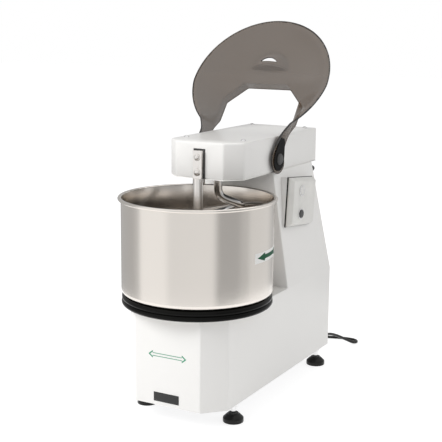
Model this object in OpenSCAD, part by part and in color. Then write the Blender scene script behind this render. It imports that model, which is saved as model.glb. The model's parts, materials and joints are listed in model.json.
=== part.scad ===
// Spiral dough mixer with a fixed head, a turning bowl and a tilting bowl guard.
// Millimetres, +Z up. Lengths along Y are given from the bowl axis; the whole machine is then
// shifted so that the origin is the bottom centre of its box, on the floor.

/* [Bowl] */
// Outer radius of the bowl wall
bowl_r = 197; // [190:1:204]
// Thickness of the bowl sheet
bowl_wall = 2; // [1:0.5:3]
// Diameter of the rolled rim
bead_d = 8.5; // [6:0.5:10]
// Depth of the bowl from rim to floor, inside
bowl_depth = 250; // [230:1:265]
// Radius of the corner between wall and floor
bowl_corner = 25; // [15:1:40]
// Diameter of the stiffening disc under the bowl
bowl_disc_d = 280; // [200:2:320]
// Thickness of the stiffening disc
bowl_disc_t = 8; // [4:1:10]

/* [Base] */
// Height of the base underside above the floor
foot_gap = 50; // [44:1:60]
// Height of the base from underside to top
base_h = 239; // [220:1:260]
// Width of the base
base_w = 292; // [280:2:320]
// Width of the flat front face between its chamfers
front_face_w = 190; // [160:2:220]
// Depth of the front chamfers
base_chamfer = 54; // [40:1:70]
// Distance from the bowl axis to the front face
base_front = 149; // [140:1:165]
// Distance from the bowl axis to the rear face
base_rear = 537; // [525:1:560]
// Thickness of the body sheet
sheet = 2; // [1.5:0.5:3]

/* [Column] */
// Height of the column from the base top to the underside of the head
column_h = 324; // [310:1:345]
// Width of the column at its top
column_top_w = 218; // [206:2:230]
// Column front face at the base, from the bowl axis
column_front_foot = 245; // [238:1:255]
// Column front face at the top, from the bowl axis
column_front_top = 215; // [210:1:225]
// Column rear face at the top, from the bowl axis
column_rear_top = 464; // [455:1:480]
// Width of the flange around the rear opening
rear_flange = 15; // [13:1:20]

/* [Head] */
// Width of the head
head_w = 218; // [206:2:230]
// Height of the head
head_h = 95; // [90:1:110]
// Width of the head's front face
head_face_w = 139; // [120:1:150]
// Front face of the head behind the bowl axis
head_face_y = 7; // [5:1:9]
// Depth of the head's front chamfers
head_chamfer = 40; // [30:1:50]
// Rear face of the head, from the bowl axis
head_rear = 495; // [485:1:510]
// Thickness of the hood
hood_t = 3; // [2:0.5:4]
// Thickness of the steel plate that closes the head below
head_plate_t = 8; // [6:1:10]
// Diameter of the four hood screws' heads
hood_screw_d = 14; // [10:1:16]

/* [Spiral] */
// Gap between the spiral and the bowl wall
spiral_wall_gap = 10; // [6:1:14]
// Gap between the spiral and the breaker bar
spiral_bar_gap = 13; // [8:1:16]
// Diameter of the spiral's rod
rod_d = 22; // [18:1:24]
// Turns of the spiral below its shoulder
spiral_turns = 1.3; // [1.1:0.05:1.6]
// Direction in which the rod leaves the axis, from the right-hand side
spiral_start = 38; // [0:1:90]
// Fall of the arm between the spiral's axis and its coil
arm_fall = 20; // [10:1:30]
// Gap between the spiral and the bowl floor
spiral_gap = 10; // [6:1:20]
// Length of the spiral's straight neck
spiral_neck = 48; // [40:1:56]
// Diameter of the spiral shaft
spiral_shaft_d = 35; // [30:1:40]

/* [Breaker bar] */
// Diameter of the breaker bar
bar_d = 26; // [20:1:28]
// Gap between the bar and the bowl floor
bar_gap = 12; // [8:1:20]
// Width of the flat tang at the bar's top
tang_w = 25; // [20:1:28]
// Depth of the tang
tang_t = 20; // [16:1:24]
// Front of the tang before the bowl axis
tang_front = 5; // [3:1:8]
// Height of the tang above the head's underside
tang_h = 74; // [68:1:80]
// Diameter of the two tang bolts
tang_bolt_d = 10; // [8:1:12]
// Side clearance of the slot in the hood around the tang
slot_side = 5; // [3:1:8]

/* [Guard lid] */
// Outer radius of the lid
lid_r = 207; // [206:1:212]
// Thickness of the lid sheet
lid_t = 3; // [2:0.5:4]
// Width of the flat rim flange
lid_flange = 11; // [8:1:16]
// Rise of the lid's dome above its rim
lid_rise = 43; // [35:1:50]
// Hinge axis behind the bowl axis
hinge_y = 224; // [222:1:228]
// Hinge axis above the head's underside
hinge_up = 35; // [34:1:40]
// Height of the hinge axis above the closed lid's rim
lid_drop = 36; // [34:1:40]
// Lean of the open lid behind the vertical
lid_lean = 38; // [30:1:40]
// Front edge of the cut-out before the bowl axis, lid closed
cut_front = 20; // [18:1:30]
// Gap between the head's side and the lid's arm
arm_gap = 8; // [6:0.5:10]
// Height of the collar around the cut-out, at the front
collar_h = 30; // [24:1:34]
// Radius of the round end of each arm
arm_end_r = 40; // [34:1:42]
// Distance in front of the bowl axis of the finger grip's straight edge, lid closed
grip_y = 62; // [58:1:70]
// Radius of the half-round finger grip
grip_r = 58.5; // [50:0.5:64]
// Depth of the finger grip's dish
grip_depth = 25; // [18:1:28]
// Width of the slot in the dish
slot_w = 56; // [44:1:60]
// Length of the slot, from the front to the rear
slot_l = 22; // [16:1:24]
// Diameter of the hinge pins
hinge_pin_d = 16; // [12:1:18]
// Diameter of the bosses between the head and the arms
hinge_boss_d = 46; // [34:1:50]
// Diameter of the caps on the hinge pins
hinge_cap_d = 30; // [24:1:34]

/* [Bowl ring] */
// Radius of the plate that carries the ring
ring_plate_r = 183; // [180:0.5:184]
// Thickness of the ring plate
ring_plate_t = 3; // [2:0.5:4]
// Height of the rubber ring
ring_h = 26; // [24:1:27]
// Gap between the ring plate and the bowl's disc
bowl_clear = 18; // [17:1:22]

/* [Bowl drive] */
// Diameter of the bowl shaft
bowl_shaft_d = 40; // [35:1:45]
// Outer diameter of the bowl bearings
bowl_bearing_d = 80; // [72:1:85]
// Height of each bowl bearing
bowl_bearing_h = 18; // [14:1:22]
// Outer diameter of the bowl bearing housing
bowl_housing_d = 100; // [96:1:110]
// Teeth on the bowl sprocket
bowl_teeth = 70; // [60:1:72]
// Teeth on the drive shaft's lower sprocket
base_teeth = 14; // [13:1:16]
// Pitch of the base chain
base_pitch = 9.525; // [8:0.005:9.6]
// Height of the base chain above the base underside
base_chain_up = 120; // [100:1:140]

/* [Spiral drive] */
// Teeth on the spiral sprocket
spiral_teeth = 20; // [18:1:24]
// Teeth on the drive shaft's upper sprocket
head_teeth = 30; // [24:1:32]
// Pitch of the head chain
head_pitch = 12.7; // [11:0.1:13]
// Height of the head chain above the head's underside
head_chain_up = 50; // [49:1:56]
// Outer diameter of the spiral bearings
spiral_bearing_d = 62; // [55:1:66]
// Height of each spiral bearing
spiral_bearing_h = 14; // [10:1:16]
// Outer diameter of the spiral bearing housing
spiral_housing_d = 80; // [76:1:90]
// Outer diameter of the drive shaft's upper bearing
drive_bearing_d = 52; // [46:1:56]
// Height of the drive shaft's upper bearing
drive_bearing_h = 16; // [12:1:18]

/* [Geared motor] */
// Drive shaft axis behind the bowl axis
drive_y = 330; // [320:1:340]
// Diameter of the drive shaft
drive_shaft_d = 30; // [25:1:32]
// Width of the gearbox
gearbox_w = 150; // [130:2:170]
// Height of the gearbox
gearbox_h = 110; // [90:2:120]
// Diameter of the motor
motor_d = 130; // [110:2:140]
// Length of the motor
motor_l = 150; // [130:2:160]
// Motor axis behind the drive shaft
motor_back = 115; // [110:1:120]
// Height of the shelf above the base underside
shelf_up = 246; // [242:1:252]

/* [Frame] */
// Thickness of the frame plates
frame_t = 8; // [6:1:10]
// Distance between the frame's upright plates
upright_span = 190; // [180:2:194]
// Depth of the frame's upright plates, front to back
upright_depth = 70; // [50:2:80]
// Half depth of the bridge that carries the bowl
bridge_y = 75; // [70:1:85]

/* [Control panel] */
// Height of the panel
panel_h = 134; // [125:1:140]
// Width of the panel, front to back
panel_w = 158; // [150:1:165]
// Depth of the panel box
panel_t = 16; // [12:1:20]
// Panel centre behind the bowl axis
panel_y = 330; // [325:1:335]
// Panel centre above the base top
panel_up = 230; // [225:1:235]
// Distance between the panel's gasket and the body, at the panel's lower edge
panel_stand = 3.6; // [3:0.1:8]
// Lean of the panel towards the rear
panel_lean = 6; // [0:1:8]
// Width of the panel's bevels
panel_bevel = 9; // [6:0.5:10]
// Thickness of the gasket
gasket_t = 3; // [2:0.5:4]
// Diameter of the button bezels
bezel_d = 30; // [26:1:34]
// Diameter of the buttons
button_d = 22; // [18:0.5:24]
// Travel of the buttons
button_travel = 4; // [3:0.5:5]
// Distance between the two buttons
button_pitch = 64; // [50:1:70]
// Distance of the buttons in front of the panel's centre
button_shift = 22; // [15:1:30]

/* [Feet] */
// Diameter of the rubber pads
pad_d = 54; // [44:1:60]
// Height of the rubber pads
pad_h = 25; // [18:1:28]
// Diameter of the foot stems
stem_d = 14; // [10:1:16]
// Distance of the feet from the base's side faces
foot_inset = 15; // [15:1:26]
// Front feet in front of the bowl axis
foot_front = 39; // [30:1:60]
// Rear feet behind the bowl axis
foot_rear = 482; // [470:1:490]

/* [Badge] */
// Width of the plain badge plate
badge_w = 74; // [60:1:90]
// Height of the badge plate
badge_h = 24; // [18:1:30]
// Centre of the badge above the base underside
badge_up = 22; // [18:1:40]

/* [Power cord] */
// Diameter of the power cord
cord_d = 8.5; // [7:0.5:10]
// Outer diameter of the cable gland
gland_d = 24; // [20:1:26]
// Distance of the gland from the base's side face
gland_inset = 24; // [23:1:30]

/* [Hidden] */
// Clearance of a running or seated fit
fit = 0.05;
// Clearance between parts that are assembled by hand
gap = 0.3;
// Clearance between parts that turn past each other
run_gap = 2;
// Smoothness of small and of large round parts
$fn = 48;
round_fn = 180;
// Longer than the machine, for cutters that run right through
reach = 1400;
// Heads and nuts of the fasteners
screw_head_h = 3;
nut_h = 8;
// Screws and knobs that hold the rear cover, and their heights
cover_screw_d = 5;
cover_screw_up = [70, 150, base_h - 22];
knob_screw_d = 6;
knob_d = 18;
knob_down = 24;
hole_gap = 0.25;
// Screws of the hood: shank, and places from the head's front, rear and side faces
hood_shank_d = 6;
hood_shank_l = 20;
hood_screw_front = 78;
hood_screw_rear = 30;
hood_screw_side = 24;

bead_sink = 0.5;
rim_r = bowl_r + bead_d - bead_sink;
base_top = foot_gap + base_h;
head_z = base_top + column_h;
head_top = head_z + head_h;
rear_skin = base_rear + sheet;
rear_end = rear_skin + screw_head_h;
bowl_y = (rim_r - rear_end) / 2;

bar_y = 1;
bar_back = bar_y + bar_d / 2;
spiral_r = (bowl_r - bowl_wall - spiral_wall_gap - bar_back - spiral_bar_gap - rod_d) / 2;
spiral_y = bar_back + spiral_bar_gap + rod_d / 2 + spiral_r;

ring_plate_top = base_top + ring_plate_t;
disc_z = ring_plate_top + bowl_clear;
bowl_z = disc_z + bowl_disc_t;
bowl_floor = bowl_z + bowl_wall;
rim_z = bowl_floor + bowl_depth;

hinge_z = head_z + hinge_up;
lid_open = 90 + lid_lean;
arm_x = head_w / 2 + arm_gap;
cut_x = arm_x;
cut_face_w = head_face_w - 6;
cut_chamfer = head_chamfer + 14;
leg_back = sqrt(lid_r * lid_r - (arm_x + lid_t) * (arm_x + lid_t)) - 1;
arm_front = 84;
grip_slope = 20;
dome_r = lid_r - lid_flange;
dome_ball = (dome_r * dome_r + lid_rise * lid_rise) / (2 * lid_rise);

chain_z = foot_gap + base_chain_up;
head_chain_z = head_z + head_chain_up;
bridge_z = base_top - 27;
housing_top = base_top - 4;
housing_flange_d = bowl_housing_d + 44;
bowl_flange_d = 130;
bowl_flange_t = disc_z - ring_plate_top - 10;
bowl_hub_z = ring_plate_top + 10;
housing_h = 85;
housing_lip = 4;
shelf_z = foot_gap + shelf_up;
head_plate_top = head_z + head_plate_t;
spiral_end_z = head_z - 12;
spiral_housing_h = 50;
spiral_housing_z = head_z - 9;
housing_web = 3;
tang_z = head_z - 13;
upright_y = drive_y + 45;
drive_low = chain_z - 20;
drive_high = head_chain_z + 14;
gearbox_z = shelf_z + frame_t;
gearbox_back = motor_back + 50;
gearbox_front = 62;
motor_z = shelf_z - motor_l;
motor_core_d = motor_d - 16;
panel_z = base_top + panel_up;
panel_x = side_x(panel_z - panel_h / 2) + panel_stand;
panel_face = panel_x + gasket_t + panel_t;
panel_wall = 3;
window = 100;
flange_mid = rear_flange / 2 + 1;
foot_x = base_w / 2 - foot_inset;
gland_x = base_w / 2 - gland_inset;
gland_z = foot_gap + 14;
gland_l = 26;

// Radius of a sprocket's pitch circle
function pitch_r(teeth, pitch) = pitch / (2 * sin(180 / teeth));
// Share of the column's height that lies below a height
function up_column(z) = max(z - base_top, 0) / column_h;
// Half width of the body at a height
function side_x(z) = base_w / 2 - up_column(z) * (base_w - column_top_w) / 2;
// Column front and rear faces at a height
function column_front(z) = column_front_foot + up_column(z) * (column_front_top - column_front_foot);
function column_rear(z) = base_rear + up_column(z) * (column_rear_top - base_rear);
// Height of the dome's underside at a radius, above the lid's rim plane
function dome_z(r) = sqrt(dome_ball * dome_ball - r * r) - dome_ball + lid_rise;
function unit(v) = v / norm(v);

// ---------- helpers ----------

// Shifts a piece from the bowl axis to its place in the machine
module place() {
    translate([0, bowl_y, 0]) children();
}

// Extrudes a Y-Z outline across the machine
module across(width) {
    rotate([90, 0, 90]) linear_extrude(height = width, center = true) children();
}

// Extrudes an X-Z outline from front to back
module lengthways(length) {
    rotate([90, 0, 0]) linear_extrude(height = length, center = true) children();
}

// A ring with a bore
module ring(outer_d, bore_d, h) {
    difference() {
        cylinder(d = outer_d, h = h, $fn = 96);
        translate([0, 0, -1]) cylinder(d = bore_d, h = h + 2, $fn = 96);
    }
}

// Places its children at both sides of the machine
module both_sides() {
    for (side = [-1, 1]) scale_side(side) children();
}

// Mirrors its children to the left for side -1
module scale_side(side) {
    if (side < 0) mirror([1, 0, 0]) children();
    else children();
}

function tangents(path) = [
    for (i = [0 : len(path) - 1])
        unit(path[min(i + 1, len(path) - 1)] - path[max(i - 1, 0)])
];

// Side vectors carried along the tangents without twist
function carried(t, i, last) =
    i == len(t) ? [] :
    let (side = unit(last - (last * t[i]) * t[i])) concat([side], carried(t, i + 1, side));

// A round tube along a path, with one radius for each point
module sweep(path, radii, sides) {
    t = tangents(path);
    m = carried(t, 0, abs(t[0].z) < 0.9 ? [0, 0, 1] : [1, 0, 0]);
    n = len(path);
    points = [
        for (i = [0 : n - 1])
            for (k = [0 : sides - 1]) let (a = 360 * k / sides)
                path[i] + radii[i] * (cos(a) * m[i] + sin(a) * cross(t[i], m[i]))
    ];
    walls = [
        for (i = [0 : n - 2])
            for (k = [0 : sides - 1])
                let (a = i * sides + k, b = i * sides + (k + 1) % sides)
                    [a, a + sides, b + sides, b]
    ];
    ends = [[for (k = [0 : sides - 1]) k], [for (k = [sides - 1 : -1 : 0]) (n - 1) * sides + k]];
    polyhedron(points = points, faces = concat(walls, ends), convexity = 6);
}

// A chain wheel: blunt teeth around a disc
module sprocket(teeth, pitch, thick, bore_d, hub_d, hub_h) {
    r = pitch_r(teeth, pitch);
    root = r - pitch * 0.26;
    tip = r + pitch * 0.24;
    outline = [
        for (i = [0 : teeth - 1])
            for (corner = [[-0.3, root], [-0.14, tip], [0.14, tip], [0.3, root]])
                let (a = 360 * (i + corner[0]) / teeth) [corner[1] * cos(a), corner[1] * sin(a)]
    ];
    difference() {
        union() {
            translate([0, 0, -thick / 2]) linear_extrude(height = thick) polygon(outline);
            translate([0, 0, thick / 2 - 0.5]) cylinder(d = hub_d, h = hub_h + 0.5);
        }
        translate([0, 0, -thick]) cylinder(d = bore_d, h = thick * 2 + hub_h);
    }
}

// Distance along the run at which a roller is clear of a wheel's teeth
function clear_run(r, pitch) = let (e = 0.44 * pitch + 0.5) sqrt(2 * r * e + e * e);

// Outline of a loop around two circles, the first at the origin and the second along +Y
function loop_outline(r1, r2, distance, steps) =
    let (a = acos((r1 - r2) / distance)) concat(
        [for (i = [0 : steps]) let (b = 90 - a - i * (360 - 2 * a) / steps) [r1 * cos(b), r1 * sin(b)]],
        [for (i = [0 : steps]) let (b = 90 + a - i * 2 * a / steps) [r2 * cos(b), distance + r2 * sin(b)]]
    );

// A roller chain around two wheels: two rows of side plates, with rollers in the straight runs
module chain(r1, r2, distance, pitch, wheel_t) {
    band = pitch * 0.38;
    plate_t = 1.5;
    side = wheel_t / 2 + gap;
    a = acos((r1 - r2) / distance);
    run = sqrt(distance * distance - (r1 - r2) * (r1 - r2));
    low = clear_run(r1, pitch);
    high = clear_run(r2, pitch);
    rollers = floor((run - low - high) / pitch);
    first = low + (run - low - high - (rollers - 1) * pitch) / 2;
    for (up = [0, 1]) mirror([0, 0, up]) translate([0, 0, side]) linear_extrude(height = plate_t)
        difference() {
            polygon(loop_outline(r1 + band, r2 + band, distance, 36));
            polygon(loop_outline(r1 - band, r2 - band, distance, 36));
        }
    for (mirrored = [0, 1]) mirror([mirrored, 0, 0])
        translate([r1 * cos(90 - a), r1 * sin(90 - a), 0]) rotate([0, 0, 90 - a])
            for (i = [0 : rollers - 1]) translate([0, first + i * pitch, -side - 0.5])
                cylinder(d = pitch * 0.4, h = 2 * side + 1, $fn = 24);
}

// A screw with a low round head, standing on Z = 0
module round_screw(head_d, head_h, shank_d, shank_l) {
    cylinder(d = head_d, h = head_h);
    translate([0, 0, -shank_l]) cylinder(d = shank_d, h = shank_l + 0.5);
}

// ---------- body ----------

// Plan of the base, drawn in by an inset
module plan_outline(inset) {
    half = base_w / 2 - inset;
    face = front_face_w / 2 - inset * 0.5;
    front = -base_front + inset;
    polygon([
        [-face, front], [face, front], [half, front + base_chamfer], [half, base_rear - inset],
        [-half, base_rear - inset], [-half, front + base_chamfer]
    ]);
}

// Front view of base and column, drawn in by an inset
module front_outline(inset, low, high) {
    foot = base_w / 2 - inset;
    top = side_x(high) - inset;
    polygon([[-foot, low], [foot, low], [foot, base_top], [top, high], [-top, high], [-foot, base_top]]);
}

// Side view of base and column, drawn in by an inset
module side_outline(inset, low, high) {
    polygon([
        [-base_front + inset, low], [base_rear - inset, low], [base_rear - inset, base_top],
        [column_rear(high) - inset, high], [column_front(high) + inset, high],
        [column_front_foot + inset, base_top - inset], [-base_front + inset, base_top - inset]
    ]);
}

// The solid form of base and column
module body_form(inset, low, high) {
    intersection() {
        translate([0, 0, low]) linear_extrude(height = high - low) plan_outline(inset);
        lengthways(reach * 2) front_outline(inset, low, high);
        across(reach) side_outline(inset, low, high);
    }
}

module body_shell() {
    color("whitesmoke") place() difference() {
        body_form(0, foot_gap, head_z);
        body_form(sheet, foot_gap - 1, head_z + 1);
        // opening for the rear cover
        translate([0, column_front_foot + reach / 2, 0])
            lengthways(reach - 120)
                front_outline(rear_flange, foot_gap + rear_flange, head_z - rear_flange);
        // holes for the rear cover's screws and the cable gland
        rear_screw_places() cylinder(d = cover_screw_d + 2 * hole_gap, h = 20, center = true);
        rear_knob_places() cylinder(d = knob_screw_d + 2 * hole_gap, h = 20, center = true);
        gland_hole();
        // opening for the bowl bearing
        translate([0, 0, base_top - 10]) cylinder(d = bowl_housing_d + 52, h = 20, $fn = 96);
        // opening behind the control panel
        panel_frame() translate([60, -window / 2, -window / 2]) cube([reach, window, window]);
    }
}

// Outline of the rear skin, seen from the side
module rear_outline(front, back, low, high) {
    polygon([
        [base_rear + front, low], [base_rear + back, low], [base_rear + back, base_top],
        [column_rear(high) + back, high], [column_rear(high) + front, high], [base_rear + front, base_top]
    ]);
}

module rear_cover() {
    louvre_w = 70;
    low = foot_gap + 4;
    high = head_z - 4;
    color("whitesmoke") place() difference() {
        intersection() {
            across(base_w) rear_outline(0, sheet, low, high);
            lengthways(reach * 2) front_outline(4, low, high);
        }
        // louvres for the motor's air
        for (side = [-1, 1]) for (i = [0 : 6])
            translate([side * (louvre_w / 2 + 12) - louvre_w / 2, base_rear - 5, foot_gap + 70 + i * 16])
                cube([louvre_w, 10, 5]);
        rear_screw_places() cylinder(d = cover_screw_d + 2 * hole_gap, h = 20, center = true);
        rear_knob_places() cylinder(d = knob_screw_d + 2 * hole_gap, h = 20, center = true);
        gland_hole();
    }
}

module gland_hole() {
    translate([gland_x, base_rear, gland_z]) rotate([90, 0, 0])
        cylinder(d = gland_d * 0.6 + 2 * gap, h = 20, center = true);
}

// Screw places on the rear face, each looking outwards
module rear_screw_places() {
    for (side = [-1, 1]) for (up = cover_screw_up)
        translate([side * (base_w / 2 - flange_mid), rear_skin, foot_gap + up])
            rotate([-90, 0, 0]) children();
}

module rear_knob_places() {
    tilt = atan2(base_rear - column_rear_top, column_h);
    z = head_z - knob_down;
    for (side = [-1, 1])
        translate([side * (side_x(z) - flange_mid), column_rear(z) + sheet / cos(tilt), z])
            rotate([-90 + tilt, 0, 0]) children();
}

module rear_cover_screws() {
    color("silver") place() rear_screw_places()
        round_screw(cover_screw_d * 1.8, screw_head_h, cover_screw_d, sheet * 2 + 6);
}

module rear_cover_knobs() {
    color("#202020") place() rear_knob_places() {
        round_screw(knob_d - 4, 4, knob_screw_d, sheet * 2 + 6);
        translate([0, 0, 3.5]) cylinder(d1 = knob_d, d2 = knob_d - 2, h = 9);
    }
}

module bottom_plate() {
    color("silver") place() difference() {
        translate([0, 0, foot_gap]) linear_extrude(height = sheet) plan_outline(sheet + gap);
        foot_places() translate([0, 0, foot_gap - 1]) cylinder(d = stem_d + 2 * gap, h = 10);
    }
}

// Welded frame: floor plate, bridge under the bowl, uprights and motor shelf
module frame() {
    low = foot_gap + sheet;
    bridge_x = base_w / 2 - 10;
    color("dimgray") place() difference() {
        union() {
            translate([0, 0, low]) linear_extrude(height = frame_t) plan_outline(sheet + 2);
            for (side = [-1, 1]) {
                translate([side * (bridge_x - frame_t / 2) - frame_t / 2, -bridge_y, low])
                    cube([frame_t, 2 * bridge_y, bridge_z - low + frame_t]);
                translate([side * (upright_span + frame_t) / 2 - frame_t / 2, upright_y, low])
                    cube([frame_t, upright_depth, head_z - low]);
            }
            translate([-bridge_x, -bridge_y, bridge_z]) cube([2 * bridge_x, 2 * bridge_y, frame_t]);
            translate([-upright_span / 2 - 1, drive_y - gearbox_front - 4, shelf_z])
                cube([upright_span + 2, gearbox_front + gearbox_back + 8, frame_t]);
        }
        translate([0, 0, bridge_z - 1]) cylinder(d = bowl_housing_d + 2 * fit, h = frame_t + 2, $fn = 96);
        translate([0, drive_y, shelf_z - 1]) cylinder(d = drive_shaft_d + 20, h = frame_t + 2);
        translate([0, drive_y + motor_back, shelf_z - 1]) cylinder(d = motor_d * 0.7, h = frame_t + 2);
        foot_places() translate([0, 0, low - 1]) cylinder(d = stem_d + 2 * fit, h = frame_t + 2);
        // room for the upper nuts of the feet
        foot_places() translate([0, 0, low + frame_t]) cylinder(d = stem_d * 2, h = nut_h + 12);
    }
}

// ---------- head ----------

// Plan of the head, drawn in by an inset
module head_outline(inset) {
    half = head_w / 2 - inset;
    face = head_face_w / 2 - inset * 0.5;
    front = head_face_y + inset;
    polygon([
        [-face, front], [face, front], [half, front + head_chamfer], [half, head_rear - inset],
        [-half, head_rear - inset], [-half, front + head_chamfer]
    ]);
}

module hood_screw_places() {
    for (side = [-1, 1]) for (y = [head_face_y + hood_screw_front, head_rear - hood_screw_rear])
        translate([side * (head_w / 2 - hood_screw_side), y, head_top]) children();
}

module head_plate() {
    notch = bar_d / 2 + 1;
    color("dimgray") place() difference() {
        union() {
            translate([0, 0, head_z]) linear_extrude(height = head_plate_t) head_outline(hood_t + gap);
            // posts that the hood's screws run into
            hood_screw_places() translate([0, 0, head_plate_t - head_h - 1])
                cylinder(d = 14, h = head_h - head_plate_t - hood_t + 1);
        }
        hood_screw_places() translate([0, 0, -30]) cylinder(d = hood_shank_d + 2 * fit, h = 40);
        translate([0, spiral_y, head_z - 1]) cylinder(d = spiral_housing_d + 2 * fit, h = head_plate_t + 2);
        translate([0, drive_y, head_z - 1]) cylinder(d = drive_bearing_d + 2 * fit, h = head_plate_t + 2);
        translate([-notch, 0, head_z - 1]) cube([2 * notch, tang_t - tang_front + gap, head_plate_t + 2]);
    }
}

module head_hood() {
    slot = tang_w / 2 + slot_side;
    color("whitesmoke") place() difference() {
        translate([0, 0, head_z]) linear_extrude(height = head_h) head_outline(0);
        translate([0, 0, head_z - 1]) linear_extrude(height = head_h - hood_t + 1) head_outline(hood_t);
        translate([-slot, 0, head_z - 1]) cube([2 * slot, head_face_y + 20, tang_h + 5]);
        hood_screw_places() cylinder(d = hood_shank_d + 1, h = 20, center = true);
        translate([0, hinge_y, hinge_z]) rotate([0, 90, 0])
            cylinder(d = hinge_pin_d + 2 * gap, h = reach, center = true);
    }
}

module hood_screws() {
    color("silver") place() hood_screw_places() {
        cylinder(d = hood_screw_d, h = 2);
        translate([0, 0, 1.5]) cylinder(d1 = hood_screw_d - 3, d2 = hood_screw_d - 6, h = 3);
        translate([0, 0, -hood_shank_l]) cylinder(d = hood_shank_d, h = hood_shank_l + 0.5);
    }
}

module tang_bolt_places() {
    for (up = [18, tang_h - 17]) translate([0, -tang_front, head_z + up]) rotate([90, 0, 0]) children();
}

module bar_bracket() {
    w = 50;
    color("dimgray") place() difference() {
        translate([-w / 2, tang_t - tang_front, head_plate_top]) cube([w, 12, tang_h - head_plate_t + 4]);
        tang_bolt_places() translate([0, 0, -60]) cylinder(d = tang_bolt_d + 2 * fit, h = 60);
    }
}

module breaker_bar() {
    low = bowl_floor + bar_gap;
    color("silver") place() difference() {
        union() {
            translate([0, bar_y, low]) cylinder(d = bar_d, h = head_z + 2 - low);
            translate([-tang_w / 2, -tang_front, tang_z]) cube([tang_w, tang_t, head_z + tang_h - tang_z]);
        }
        tang_bolt_places() translate([0, 0, -60]) cylinder(d = tang_bolt_d + 2 * fit, h = 61);
    }
}

module breaker_bar_bolts() {
    shank = tang_t + 11;
    color("silver") place() tang_bolt_places() {
        cylinder(d = 18, h = 1.5);
        translate([0, 0, 1]) cylinder(d = 15, h = 5, $fn = 6);
        translate([0, 0, -shank]) cylinder(d = tang_bolt_d, h = shank + 0.5);
    }
}

// ---------- bowl and its drive ----------

module ring_plate() {
    color("silver") place() translate([0, 0, base_top]) difference() {
        cylinder(r = ring_plate_r, h = ring_plate_t, $fn = round_fn);
        translate([0, 0, -1]) cylinder(d = bowl_housing_d + 20, h = ring_plate_t + 2, $fn = 96);
    }
}

// Rubber ring of two beads around the foot of the bowl
module bowl_ring() {
    bead = ring_h / 3.6;
    color("#151515") place() translate([0, 0, ring_plate_top]) rotate_extrude($fn = round_fn) {
        translate([ring_plate_r - 7, 0]) square([14, ring_h - bead]);
        translate([ring_plate_r + 6.5, bead - 1.5]) circle(r = bead, $fn = 32);
        translate([ring_plate_r + 5.5, ring_h - bead]) circle(r = bead - 0.3, $fn = 32);
    }
}

module bowl_housing() {
    bore = bowl_bearing_d + 2 * fit;
    color("slategray") place() translate([0, 0, housing_top - housing_h]) difference() {
        union() {
            cylinder(d = bowl_housing_d, h = housing_h, $fn = 96);
            translate([0, 0, bridge_z + frame_t - housing_top + housing_h])
                cylinder(d = housing_flange_d, h = 8, $fn = 96);
        }
        translate([0, 0, -1]) cylinder(d = bowl_shaft_d + 2 * run_gap, h = housing_h + 2, $fn = 96);
        translate([0, 0, -1]) cylinder(d = bore, h = bowl_bearing_h + 1, $fn = 96);
        translate([0, 0, housing_h - bowl_bearing_h - housing_lip])
            cylinder(d = bore, h = bowl_bearing_h + housing_lip + 1, $fn = 96);
    }
}

module bowl_bearings() {
    color("lightsteelblue") place()
        for (z = [housing_top - housing_h, housing_top - housing_lip - bowl_bearing_h])
            translate([0, 0, z]) ring(bowl_bearing_d, bowl_shaft_d + 2 * fit, bowl_bearing_h);
}

module bowl_seal() {
    color("#202020") place() translate([0, 0, housing_top - housing_lip])
        ring(bowl_bearing_d, bowl_shaft_d + 2 * fit, housing_lip + 8);
}

// Half section of the bowl: floor, round corner and wall
module bowl_section() {
    corner_x = bowl_r - bowl_corner;
    lip_z = rim_z - bowl_z - bead_d / 2;
    square([corner_x, bowl_wall]);
    translate([bowl_r - bowl_wall, bowl_corner]) square([bowl_wall, lip_z - bowl_corner]);
    translate([corner_x, bowl_corner]) intersection() {
        difference() {
            circle(r = bowl_corner, $fn = 96);
            circle(r = bowl_corner - bowl_wall, $fn = 96);
        }
        translate([0, -bowl_corner]) square(bowl_corner);
    }
    translate([rim_r - bead_d / 2, lip_z]) circle(d = bead_d, $fn = 32);
    translate([bowl_r - bowl_wall, lip_z]) square([bowl_wall + bead_d / 2 - bead_sink, bead_d / 2 - 0.6]);
}

module bowl() {
    color("gainsboro") place() translate([0, 0, bowl_z]) rotate_extrude($fn = round_fn) bowl_section();
}

module bowl_disc() {
    color("silver") place() translate([0, 0, disc_z]) difference() {
        cylinder(d = bowl_disc_d, h = bowl_disc_t, $fn = 96);
        bowl_screw_places() translate([0, 0, -1]) cylinder(d = 8 + 2 * fit, h = bowl_disc_t + 2);
    }
}

module bowl_screw_places() {
    for (i = [0 : 5]) rotate([0, 0, 60 * i]) translate([bowl_flange_d / 2 - 12, 0, 0]) children();
}

module bowl_shaft() {
    color("silver") place() difference() {
        union() {
            translate([0, 0, chain_z - 22])
                cylinder(d = bowl_shaft_d, h = bowl_hub_z - chain_z + 23, $fn = 96);
            translate([0, 0, bowl_hub_z]) cylinder(d = bowl_flange_d, h = bowl_flange_t, $fn = 96);
        }
        translate([0, 0, bowl_hub_z]) bowl_screw_places()
            translate([0, 0, -1]) cylinder(d = 8 + 2 * fit, h = bowl_flange_t + 2);
    }
}

module bowl_screws() {
    color("dimgray") place() translate([0, 0, bowl_hub_z]) bowl_screw_places() {
        translate([0, 0, -5]) cylinder(d = 13, h = 5, $fn = 6);
        translate([0, 0, -0.5]) cylinder(d = 8, h = bowl_flange_t + bowl_disc_t + 0.5);
    }
}

module bowl_sprocket() {
    hub_h = housing_top - housing_h - chain_z - 4.5;
    color("gray") place() translate([0, 0, chain_z])
        sprocket(bowl_teeth, base_pitch, 5, bowl_shaft_d + 2 * fit, bowl_shaft_d + 30, hub_h);
}

module bowl_nut() {
    color("silver") place() translate([0, 0, chain_z - 2.5 - 12]) difference() {
        cylinder(d = 66, h = 12, $fn = 6);
        translate([0, 0, -1]) cylinder(d = bowl_shaft_d + 2 * fit, h = 14, $fn = 96);
    }
}

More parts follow.
